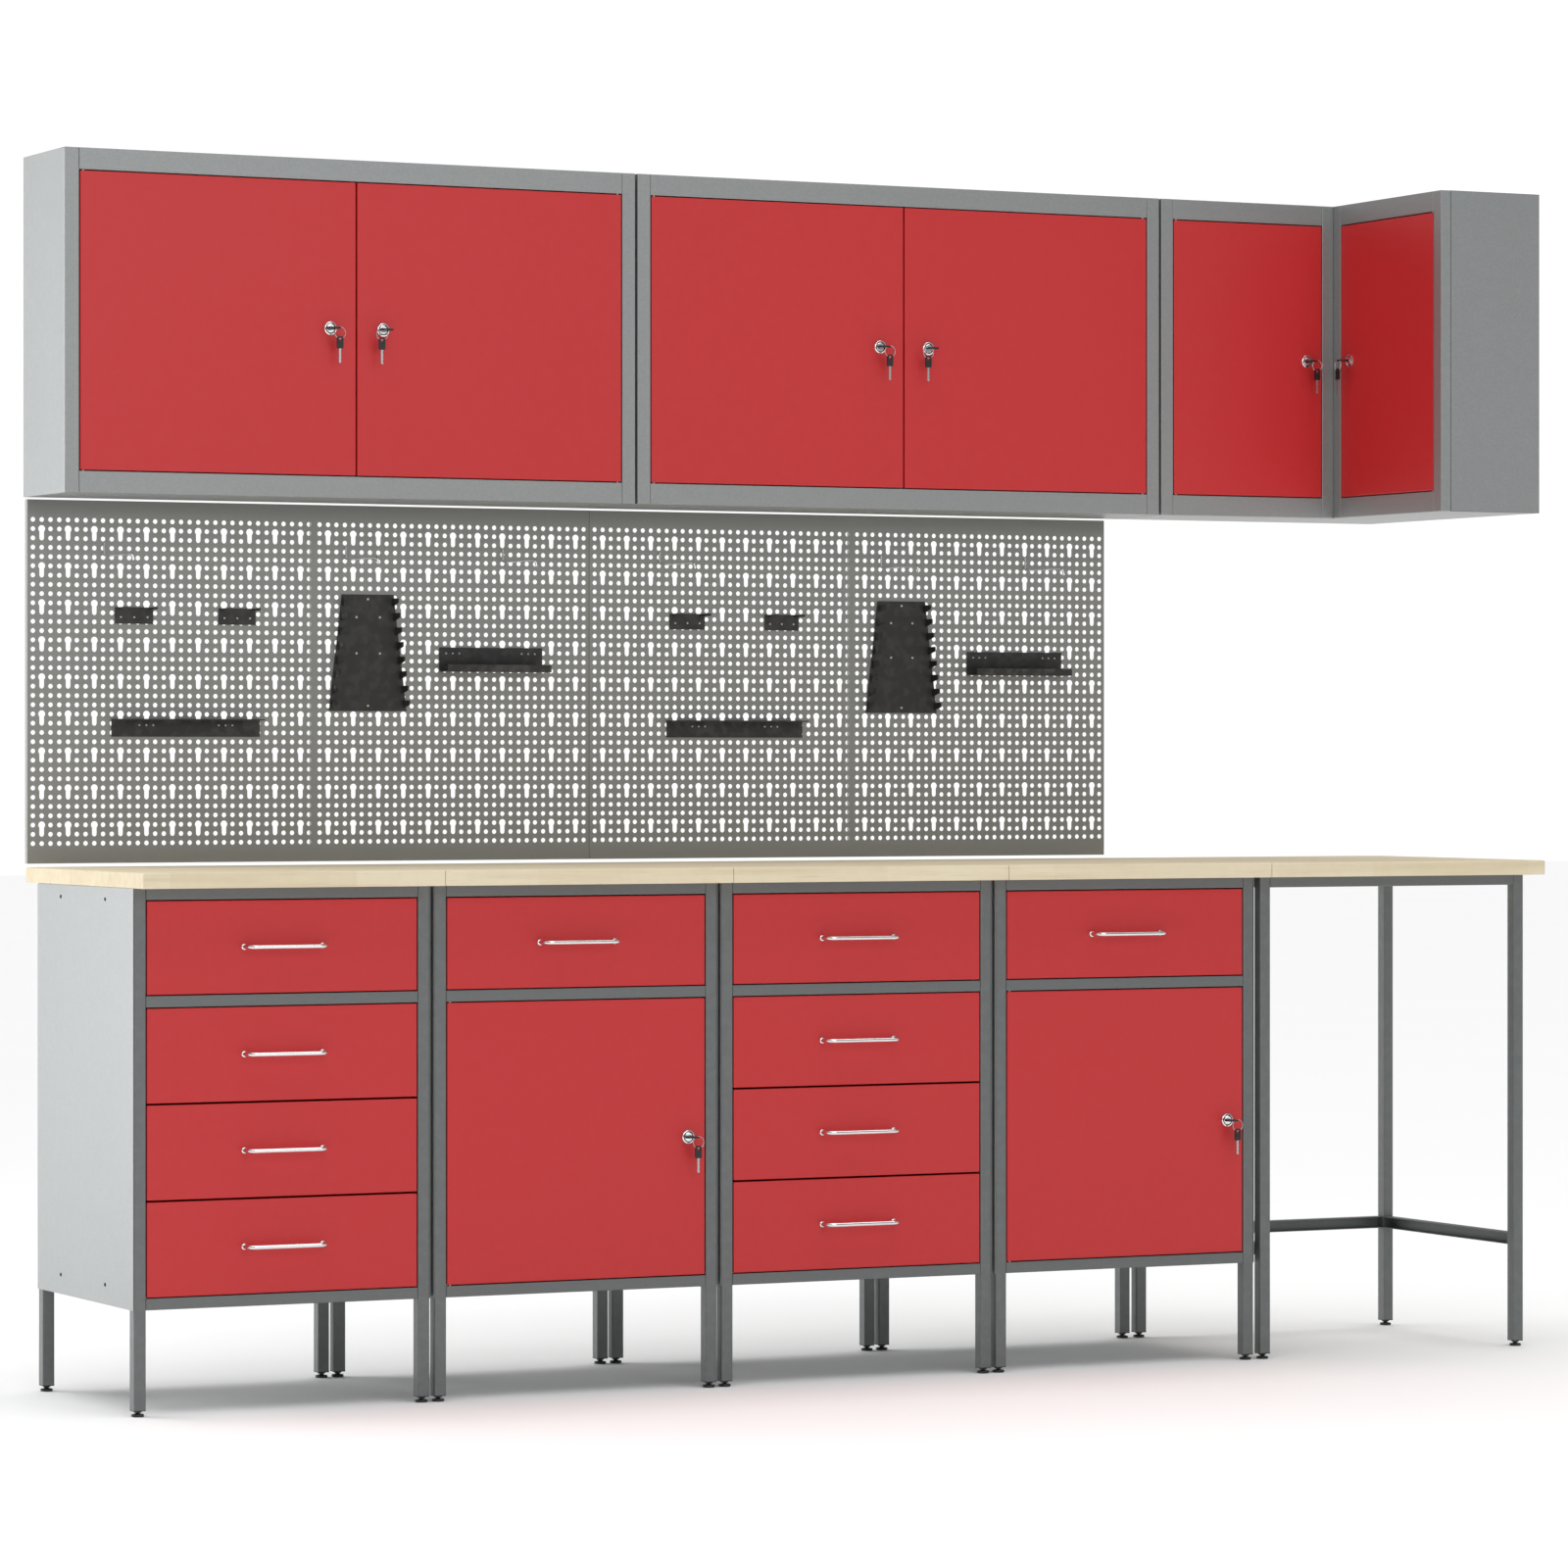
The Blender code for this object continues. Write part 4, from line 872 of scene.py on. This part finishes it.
def face_frame(start, end, face, bottom, top, stiles, side_facing=False):
    """Two stiles at full height with a rail between them at top and bottom, open to the inside.

    It runs along X at y = face, or along Y at x = face when it faces the side.
    """
    def member(first, last, low, high):
        if side_facing:
            return folded((face, first, low), (face + FACE_DEPTH, last, high), (RIGHT,),
                          TUBE_WALL, BEND)
        return folded((first, face, low), (last, face + FACE_DEPTH, high), (BACK,), TUBE_WALL, BEND)

    first_stile, last_stile = stiles
    inner = (start + first_stile, end - last_stile)
    return [member(start, start + first_stile, bottom, top),
            member(end - last_stile, end, bottom, top),
            member(*inner, bottom, bottom + WALL_RAIL), member(*inner, top - WALL_RAIL, top)]


def panels(*corners):
    """Flat sheets of panel steel, one between each pair of corners."""
    return [eased_bar(low, high, PANEL_EASE) for low, high in corners]


def make_wall_cabinets():
    for number in (1, 2):
        name = f"wall_cabinet_{number}_carcase"
        low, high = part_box(name)
        skin = low.y + FACE_DEPTH - TUBE_WALL
        left, right, middle = low.x + SHEET, high.x - SHEET, (low.x + high.x) / 2
        rails = low.z + WALL_RAIL - STRIKE_LAP, high.z - WALL_RAIL + STRIKE_LAP
        parts = face_frame(low.x, high.x, low.y, low.z, high.z, (WALL_STILE, WALL_STILE))
        parts += panels(((low.x, skin, low.z), (left, high.y, high.z)),
                        ((right, skin, low.z), (high.x, high.y, high.z)),
                        ((left, skin, low.z), (right, high.y, low.z + SHEET)),
                        ((left, skin, high.z - SHEET), (right, high.y, high.z)),
                        ((left, high.y - SHEET, low.z), (right, high.y, high.z)))
        parts.append(eased_bar(
            (middle - STRIKE_HALF_WIDTH, low.y + STRIKE_DEPTHS[0], rails[0]),
            (middle + STRIKE_HALF_WIDTH, low.y + STRIKE_DEPTHS[1], rails[1])))
        fit(smoothed(joined(parts)), name + "_steel", ROOT, "panel_paint", PANEL, name)


def make_corner_cabinet():
    name = "corner_cabinet_carcase"
    low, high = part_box(name)
    face_y, face_x = high.y - WALL_DEPTH, high.x - WALL_DEPTH
    skin_x, skin_y = face_x + FACE_DEPTH - TUBE_WALL, face_y + FACE_DEPTH - TUBE_WALL
    parts = face_frame(low.x, face_x, face_y, low.z, high.z, (WALL_STILE, CORNER_POST))
    parts += face_frame(low.y, face_y, face_x, low.z, high.z, (WALL_STILE, CORNER_POST), True)
    parts.append(eased_bar((face_x, face_y, low.z), (skin_x, skin_y, high.z)))
    for z in (low.z, high.z - SHEET):
        parts += panels(((low.x, skin_y, z), (skin_x, high.y, z + SHEET)),
                        ((skin_x, low.y, z), (high.x, high.y, z + SHEET)))
    parts += panels(((low.x, skin_y, low.z), (low.x + SHEET, high.y, high.z)),
                    ((low.x, high.y - SHEET, low.z), (high.x, high.y, high.z)),
                    ((high.x - SHEET, low.y, low.z), (high.x, high.y, high.z)),
                    ((skin_x, low.y, low.z), (high.x, low.y + SHEET, high.z)))
    fit(smoothed(joined(parts)), name + "_steel", ROOT, "panel_paint", PANEL, name)


# ---- perforated boards ---------------------------------------------------------------------------

HOLE_PITCH, HOLE_RADIUS, KEYHOLE_RADIUS = 0.015, 0.004, 0.006
FIELD_COLUMNS, FIELD_ROWS = 33, 36
EDGE_STRIP = 0.0025
BOARD_MARGIN = 0.025
BOARD_DEPTH = 0.010
STIFFENER_HALF_WIDTH, STIFFENER_INSET = 0.005, 0.003
NEAR = 0.0004                       # closer than this counts as the same line
MERGE = 0.0001


def ring_in_frame(columns, rows, outline):
    """A sheet cell of that many pitches, pierced by an outline of points about its upper middle."""
    clear_bench()
    wide, tall = columns * HOLE_PITCH, rows * HOLE_PITCH
    bpy.ops.mesh.primitive_plane_add(size=1, location=(0, 0, (1 - rows) * HOLE_PITCH / 2),
                                     rotation=(math.radians(90), 0, 0))
    bpy.context.object.scale = (wide, tall, 1)
    bpy.ops.object.transform_apply(location=True, rotation=True, scale=True)
    cell = open_mesh(bpy.context.object)
    bpy.ops.mesh.delete(type="ONLY_FACE")
    pick_edges(lambda edge: abs(edge.verts[0].co.x - edge.verts[1].co.x) > 0.001)
    bpy.ops.mesh.subdivide(number_cuts=3 * columns - 1)
    pick_edges(lambda edge: abs(edge.verts[0].co.z - edge.verts[1].co.z) > 0.001)
    bpy.ops.mesh.subdivide(number_cuts=3 * rows - 1)
    close_mesh()
    bpy.ops.object.select_all(action="DESELECT")
    bpy.ops.mesh.primitive_circle_add(vertices=len(outline), radius=HOLE_RADIUS,
                                      fill_type="NOTHING")
    hole = bpy.context.object
    for vertex, (x, z) in zip(hole.data.vertices, outline):
        vertex.co = (x, 0, z)
    whole = open_mesh(joined([cell, hole]))
    bpy.ops.mesh.select_all(action="SELECT")
    bpy.ops.mesh.bridge_edge_loops()
    close_mesh()
    return whole


def round_outline():
    angles = [math.radians(15 + 30 * step) for step in range(12)]
    return [(HOLE_RADIUS * math.cos(angle), HOLE_RADIUS * math.sin(angle)) for angle in angles]


def keyhole_outline():
    """A round bulb with a slot hanging one pitch below it, eighteen points round."""
    neck = math.asin(HOLE_RADIUS / KEYHOLE_RADIUS)
    sweep = math.tau - 2 * neck
    bulb = [-math.pi / 2 + neck + sweep * step / 11 for step in range(12)]
    points = [(KEYHOLE_RADIUS * math.cos(angle), KEYHOLE_RADIUS * math.sin(angle))
              for angle in bulb]
    foot = [math.pi + math.pi * step / 5 for step in range(6)]
    return points + [(HOLE_RADIUS * math.cos(angle), -HOLE_PITCH + HOLE_RADIUS * math.sin(angle))
                     for angle in foot]


def make_pierced_field():
    """All the holes of one field, its upper left cell's middle at zero."""
    plain = ring_in_frame(1, 1, round_outline())
    keyhole = ring_in_frame(1, 2, keyhole_outline())
    cells = [another(keyhole, (HOLE_PITCH, 0, -HOLE_PITCH))]
    for column in range(3):
        for row in range(4):
            if column != 1 or row in (0, 3):
                cells.append(another(plain, (column * HOLE_PITCH, 0, -row * HOLE_PITCH)))
    bpy.data.objects.remove(plain)
    bpy.data.objects.remove(keyhole)
    field = joined(cells)
    repeats = ((FIELD_COLUMNS // 3, (3 * HOLE_PITCH, 0, 0)),
               (FIELD_ROWS // 4, (0, 0, -4 * HOLE_PITCH)))
    for count, step in repeats:
        work(field, "ARRAY", count=count, use_relative_offset=False, use_constant_offset=True,
             constant_offset_displace=step)
    return field


def push_border(side, test, distance):
    """Draws the sheet's free edges on one side out by a distance."""
    pick_edges(lambda edge: edge.is_boundary and test(edge))
    bpy.ops.mesh.extrude_region_move(TRANSFORM_OT_translate={"value": side * distance})


def make_board_sheet(low, high):
    """The pierced sheet with its margins and folded edges, in the first board's place."""
    half = HOLE_PITCH / 2
    first = make_pierced_field()
    top = high.z - BOARD_MARGIN - half
    wide = FIELD_COLUMNS * HOLE_PITCH
    middle = (low.x + high.x) / 2
    second = another(first, (high.x - EDGE_STRIP - wide + half, low.y, top))
    first.data.transform(Matrix.Translation((low.x + EDGE_STRIP + half, low.y, top)))
    sheet = open_mesh(joined([first, second]))
    bpy.ops.mesh.select_all(action="SELECT")
    bpy.ops.mesh.remove_doubles(threshold=MERGE)
    outer = low.x + EDGE_STRIP, high.x - EDGE_STRIP
    inner = outer[0] + wide, outer[1] - wide
    gap = middle - inner[0]
    for x, side, distance in ((outer[0], LEFT, EDGE_STRIP), (inner[0], RIGHT, gap),
                              (inner[1], LEFT, gap), (outer[1], RIGHT, EDGE_STRIP)):
        push_border(side, lambda edge: all(abs(v.co.x - x) < NEAR for v in edge.verts), distance)
    bpy.ops.mesh.select_all(action="SELECT")
    bpy.ops.mesh.remove_doubles(threshold=MERGE)
    for z, side in ((high.z - BOARD_MARGIN, UP), (low.z + BOARD_MARGIN, DOWN)):
        push_border(side, lambda edge: all(abs(v.co.z - z) < NEAR for v in edge.verts),
                    BOARD_MARGIN)
    bpy.ops.mesh.select_all(action="SELECT")
    bpy.ops.mesh.normals_make_consistent(inside=False)

    def on_rim(edge):
        return edge.is_boundary and all(
            min(abs(v.co.x - low.x), abs(v.co.x - high.x),
                abs(v.co.z - low.z), abs(v.co.z - high.z)) < NEAR
            for v in edge.verts)

    pick_edges(on_rim)
    bpy.ops.mesh.extrude_region_move(TRANSFORM_OT_translate={"value": (0, high.y - low.y, 0)})
    pick_edges(lambda edge: not edge.is_boundary and edge.calc_face_angle(0) > 1
               and all(abs(v.co.y - low.y) < NEAR for v in edge.verts))
    bpy.ops.mesh.bevel(offset=0.0008, segments=2, affect="EDGES")
    bpy.ops.mesh.select_all(action="SELECT")
    bpy.ops.mesh.normals_make_consistent(inside=False)
    close_mesh()
    nearest = min(sheet.data.polygons, key=lambda face: (face.center - low).length)
    front = next((face for face in sheet.data.polygons
                  if face.area > nearest.area and abs(face.normal.y) > 0.9), nearest)
    if front.normal.y > 0:
        sheet.data.flip_normals()
    return work(sheet, "SOLIDIFY", thickness=SHEET, offset=-1)


def make_perforated_boards():
    low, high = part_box("perforated_board_1")
    low.y = high.y - BOARD_DEPTH
    sheet = make_board_sheet(low, high)
    hold(sheet)
    bpy.ops.object.shade_smooth_by_angle(angle=SMOOTH_ANGLE)
    middle = (low.x + high.x) / 2
    back_low = low.y + SHEET
    stiffener = smoothed(folded(
        (middle - STIFFENER_HALF_WIDTH, back_low, low.z + STIFFENER_INSET),
        (middle + STIFFENER_HALF_WIDTH, high.y, high.z - STIFFENER_INSET),
        (BACK,), SHEET, TRAY_BEND))
    for number in (1, 2):
        name = f"perforated_board_{number}"
        at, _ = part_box(name)
        shift = (at.x - low.x, 0, 0)
        fit(another(sheet, shift), name + "_sheet", ROOT, "board_paint", BOARD, name)
        fit(another(stiffener, shift), name + "_stiffener", ROOT, "board_paint", BOARD)
        make_holders(name, at.x, low.y)
    bpy.data.objects.remove(sheet)
    bpy.data.objects.remove(stiffener)


# Holders, measured along a board from its left edge, and up from the floor
HOOKS, HOOK_HEIGHT, HOOK_REACH, HOOK_WIRE = (0.131, 0.555, 0.839), 1.343, 0.150, 0.0018
HOOK_TAIL = 0.024
CLIPS, CLIP_HEIGHTS, CLIP_REACH = ((0.150, 0.216), (0.330, 0.395)), (1.235, 1.262), 0.040
CLIP_FINGERS, CLIP_FINGER_DEPTH = (0.006, -0.008), 0.004
RACK_SPAN, RACK_HEIGHTS, RACK_REACH = (0.144, 0.402), (1.051, 1.080), 0.026
TRAY_SPAN, TRAY_HEIGHTS, TRAY_REACH, TRAY_LIP = (0.7235, 0.9116), (1.160, 1.201), 0.040, 0.012
SPANNER_HEIGHTS, SPANNER_LOW, SPANNER_HIGH = (1.094, 1.2875), (0.525, 0.664), (0.548, 0.641)
SPANNER_FINGERS, SPANNER_REACH, FINGER_INSET = 8, 0.028, 0.003
FINGER_FOOT, FINGER_HEAD, FINGER_TIP = 0.004, 0.006, 0.55
SPANNER_RIVETS = ((0.5945, 1.280), (0.5945, 1.103), (0.574, 1.250), (0.616, 1.250),
                  (0.574, 1.190), (0.616, 1.190))
RIVET_RADIUS, SMALL_RIVET, RIVET_PITCH, RIVET_DROP = 0.0022, 0.0018, 0.012, 0.010
RACK_RIVETS, TRAY_RIVETS = (0.048, 0.186), (0.012, 0.150)
PLATE, PLATE_EASE, FINGER_EASE, LIP_BEND = 0.002, 0.0007, 0.0006, 0.0012


def rivet(x, y, z, radius=RIVET_RADIUS):
    """A small bright rivet head on a face that looks forward."""
    return turned([(radius, -0.0002), (radius, 0.0004), (radius * 0.75, 0.0009),
                   (radius * 0.3, 0.0011)], Matrix.Translation((x, y, z)) @ TO_FRONT, 12)


def rivet_rows(left, starts, y, z):
    """Three small rivets in a row from each start."""
    return [rivet(left + start + RIVET_PITCH * step, y, z, SMALL_RIVET)
            for start in starts for step in range(3)]


def make_holders(name, left, face):
    """Hooks, clips, long rack, tray and spanner holder on one board's face."""
    wires = [bent_wire((left + offset, face - HOOK_WIRE, HOOK_HEIGHT + HOOK_TAIL), DOWN, HOOK_WIRE,
                       [0.018, (90, 0.004, LEFT), HOOK_REACH - 0.024, (-60, 0.006, LEFT), 0.010])
             for offset in HOOKS]
    fit(smoothed(joined(wires)), name + "_hooks", ROOT, "chrome", CHROME)

    plates, rivets = [], []
    front = face - PLATE
    bottom, top = CLIP_HEIGHTS
    for start, end in CLIPS:
        plates.append(eased_bar((left + start, front, bottom), (left + end, face, top), PLATE_EASE))
        for x in (left + start + CLIP_FINGERS[0], left + end + CLIP_FINGERS[1]):
            plates.append(eased_bar((x, face - CLIP_REACH, top - CLIP_FINGER_DEPTH),
                                    (x + PLATE, face, top), FINGER_EASE))
        for x in (start + 0.010, (start + end) / 2, end - 0.010):
            rivets.append(rivet(left + x, front, bottom + 0.011, SMALL_RIVET))

    start, end = (left + edge for edge in RACK_SPAN)
    bottom, top = RACK_HEIGHTS
    plates.append(folded((start, face - RACK_REACH, bottom), (end, face, top),
                         (DOWN, FRONT, LEFT, RIGHT), PLATE, LIP_BEND))
    rivets += rivet_rows(start, RACK_RIVETS, front, top - RIVET_DROP)

    start, end = (left + edge for edge in TRAY_SPAN)
    bottom, top = TRAY_HEIGHTS
    plates.append(eased_bar((start, front, bottom), (end, face, top), PLATE_EASE))
    plates.append(folded((start, face - TRAY_REACH, bottom), (end, face, bottom + TRAY_LIP),
                         (UP, LEFT, RIGHT), PLATE, LIP_BEND))
    rivets += rivet_rows(start, TRAY_RIVETS, front, top - RIVET_DROP)

    plates += make_spanner_holder(left, face)
    rivets += [rivet(left + x, front, z) for x, z in SPANNER_RIVETS]
    fit(smoothed(joined(plates)), name + "_holders", ROOT, "black_paint", BLACK)
    fit(smoothed(joined(rivets)), name + "_rivets", ROOT, "steel", STEEL)


def make_spanner_holder(left, face):
    """A tapered plate with a cheek down each side, cut into fingers that tip upwards."""
    bottom, top = SPANNER_HEIGHTS
    plate = blank((left + SPANNER_LOW[0], face - PLATE, bottom), (left + SPANNER_LOW[1], face, top))
    middle = left + sum(SPANNER_LOW) / 2
    open_mesh(plate)
    pick_faces(lambda centre, normal: normal.z > 0.9)
    taper = (SPANNER_HIGH[1] - SPANNER_HIGH[0]) / (SPANNER_LOW[1] - SPANNER_LOW[0])
    bpy.ops.transform.resize(value=(taper, 1, 1), center_override=(middle, face, top))
    close_mesh()
    parts = [work(plate, "BEVEL", width=PLATE_EASE, segments=2, limit_method="NONE")]
    pitch, reach = (top - bottom) / SPANNER_FINGERS, face - SPANNER_REACH
    for step in range(SPANNER_FINGERS):
        foot, head = bottom + pitch * step + FINGER_FOOT, bottom + pitch * (step + 1) - FINGER_HEAD
        along = (step + 0.5) / SPANNER_FINGERS
        for low_edge, high_edge, inward in zip(SPANNER_LOW, SPANNER_HIGH, (1, -1)):
            x = left + low_edge + (high_edge - low_edge) * along + inward * FINGER_INSET
            first, last = sorted((x, x + inward * PLATE))
            finger = blank((first, reach, foot), (last, face, head))
            open_mesh(finger)
            pick_faces(lambda centre, normal: normal.y < -0.9)
            bpy.ops.transform.resize(value=(1, 1, FINGER_TIP), center_override=(x, reach, head))
            close_mesh()
            parts.append(work(finger, "BEVEL", width=FINGER_EASE, segments=2, limit_method="NONE"))
    return parts


# ---- floor, light and camera ---------------------------------------------------------------------

FLOOR_SIZE, FLOOR_DROP = 80, 0.0002
BACKDROP_LIGHT, ROOM_LIGHT = 1.05, 0.32     # what the camera sees, and what lights the set
SKY_LIGHT, SKY_ANGLE = 2.3, math.radians(70)
EYE, TURN = (-4.496, -8.9695, 1.019), math.radians(-26.4)
LENS, LENS_SHIFT = 137.9, -0.0177


def area_light(name, place, target, size, power):
    light = bpy.data.lights.new(name, "AREA")
    light.shape = "RECTANGLE"
    light.size, light.size_y = size
    light.energy = power
    made = bpy.data.objects.new(name, light)
    made.location = place
    made.rotation_euler = (Vector(target) - Vector(place)).to_track_quat("-Z", "Y").to_euler()
    bpy.context.scene.collection.objects.link(made)


def make_studio():
    clear_bench()
    bpy.ops.mesh.primitive_plane_add(size=FLOOR_SIZE, location=(0, 0, -FLOOR_DROP))
    floor = bpy.context.object
    floor.name = "studio_floor"
    made, tree, shader = new_finish("floor_paint")
    tree.links.new(blend_colours(tree, noise(tree, 0.8, 2), (0.92, 0.92, 0.92), (0.94, 0.94, 0.94)),
                   shader.inputs["Base Color"])
    shader.inputs["Roughness"].default_value = 0.9
    floor.data.materials.append(made)

    world = bpy.data.worlds.new("studio")
    bpy.context.scene.world = world
    world.use_nodes = True
    tree = world.node_tree
    backdrop = tree.nodes["Background"]
    backdrop.inputs["Color"].default_value = (1, 1, 1, 1)
    backdrop.inputs["Strength"].default_value = BACKDROP_LIGHT
    room = tree.nodes.new("ShaderNodeBackground")
    room.inputs["Color"].default_value = (1, 1, 1, 1)
    room.inputs["Strength"].default_value = ROOM_LIGHT
    seen = tree.nodes.new("ShaderNodeLightPath")
    choice = tree.nodes.new("ShaderNodeMixShader")
    tree.links.new(seen.outputs["Is Camera Ray"], choice.inputs[0])
    tree.links.new(room.outputs[0], choice.inputs[1])
    tree.links.new(backdrop.outputs[0], choice.inputs[2])
    tree.links.new(choice.outputs[0], tree.nodes["World Output"].inputs["Surface"])

    area_light("left_softbox", (-4.2, 2.6, 1.4), (-1.2, 0, 1.1), (3.0, 3.0), 105)
    area_light("front_softbox", (-0.5, -7.0, 3.6), (0, 0, 1.0), (6.0, 3.0), 90)
    sky = bpy.data.lights.new("high_soft_sky", "SUN")
    sky.energy = SKY_LIGHT
    sky.angle = SKY_ANGLE
    above = bpy.data.objects.new("high_soft_sky", sky)
    above.location = (0, 0, 6)
    bpy.context.scene.collection.objects.link(above)


def make_camera():
    data = bpy.data.cameras.new("camera")
    data.sensor_width = 36
    data.lens = LENS
    data.shift_y = LENS_SHIFT
    data.clip_end = 200
    camera = bpy.data.objects.new("camera", data)
    camera.location = EYE
    camera.rotation_euler = (math.radians(90), 0, TURN)
    bpy.context.scene.collection.objects.link(camera)
    bpy.context.scene.camera = camera


make_frames()
make_runners()
make_shells()
make_worktops()
make_shelves()
make_drawers()
make_doors()
make_wall_cabinets()
make_corner_cabinet()
make_perforated_boards()
make_studio()
make_camera()
bpy.context.scene.view_settings.view_transform = "Standard"
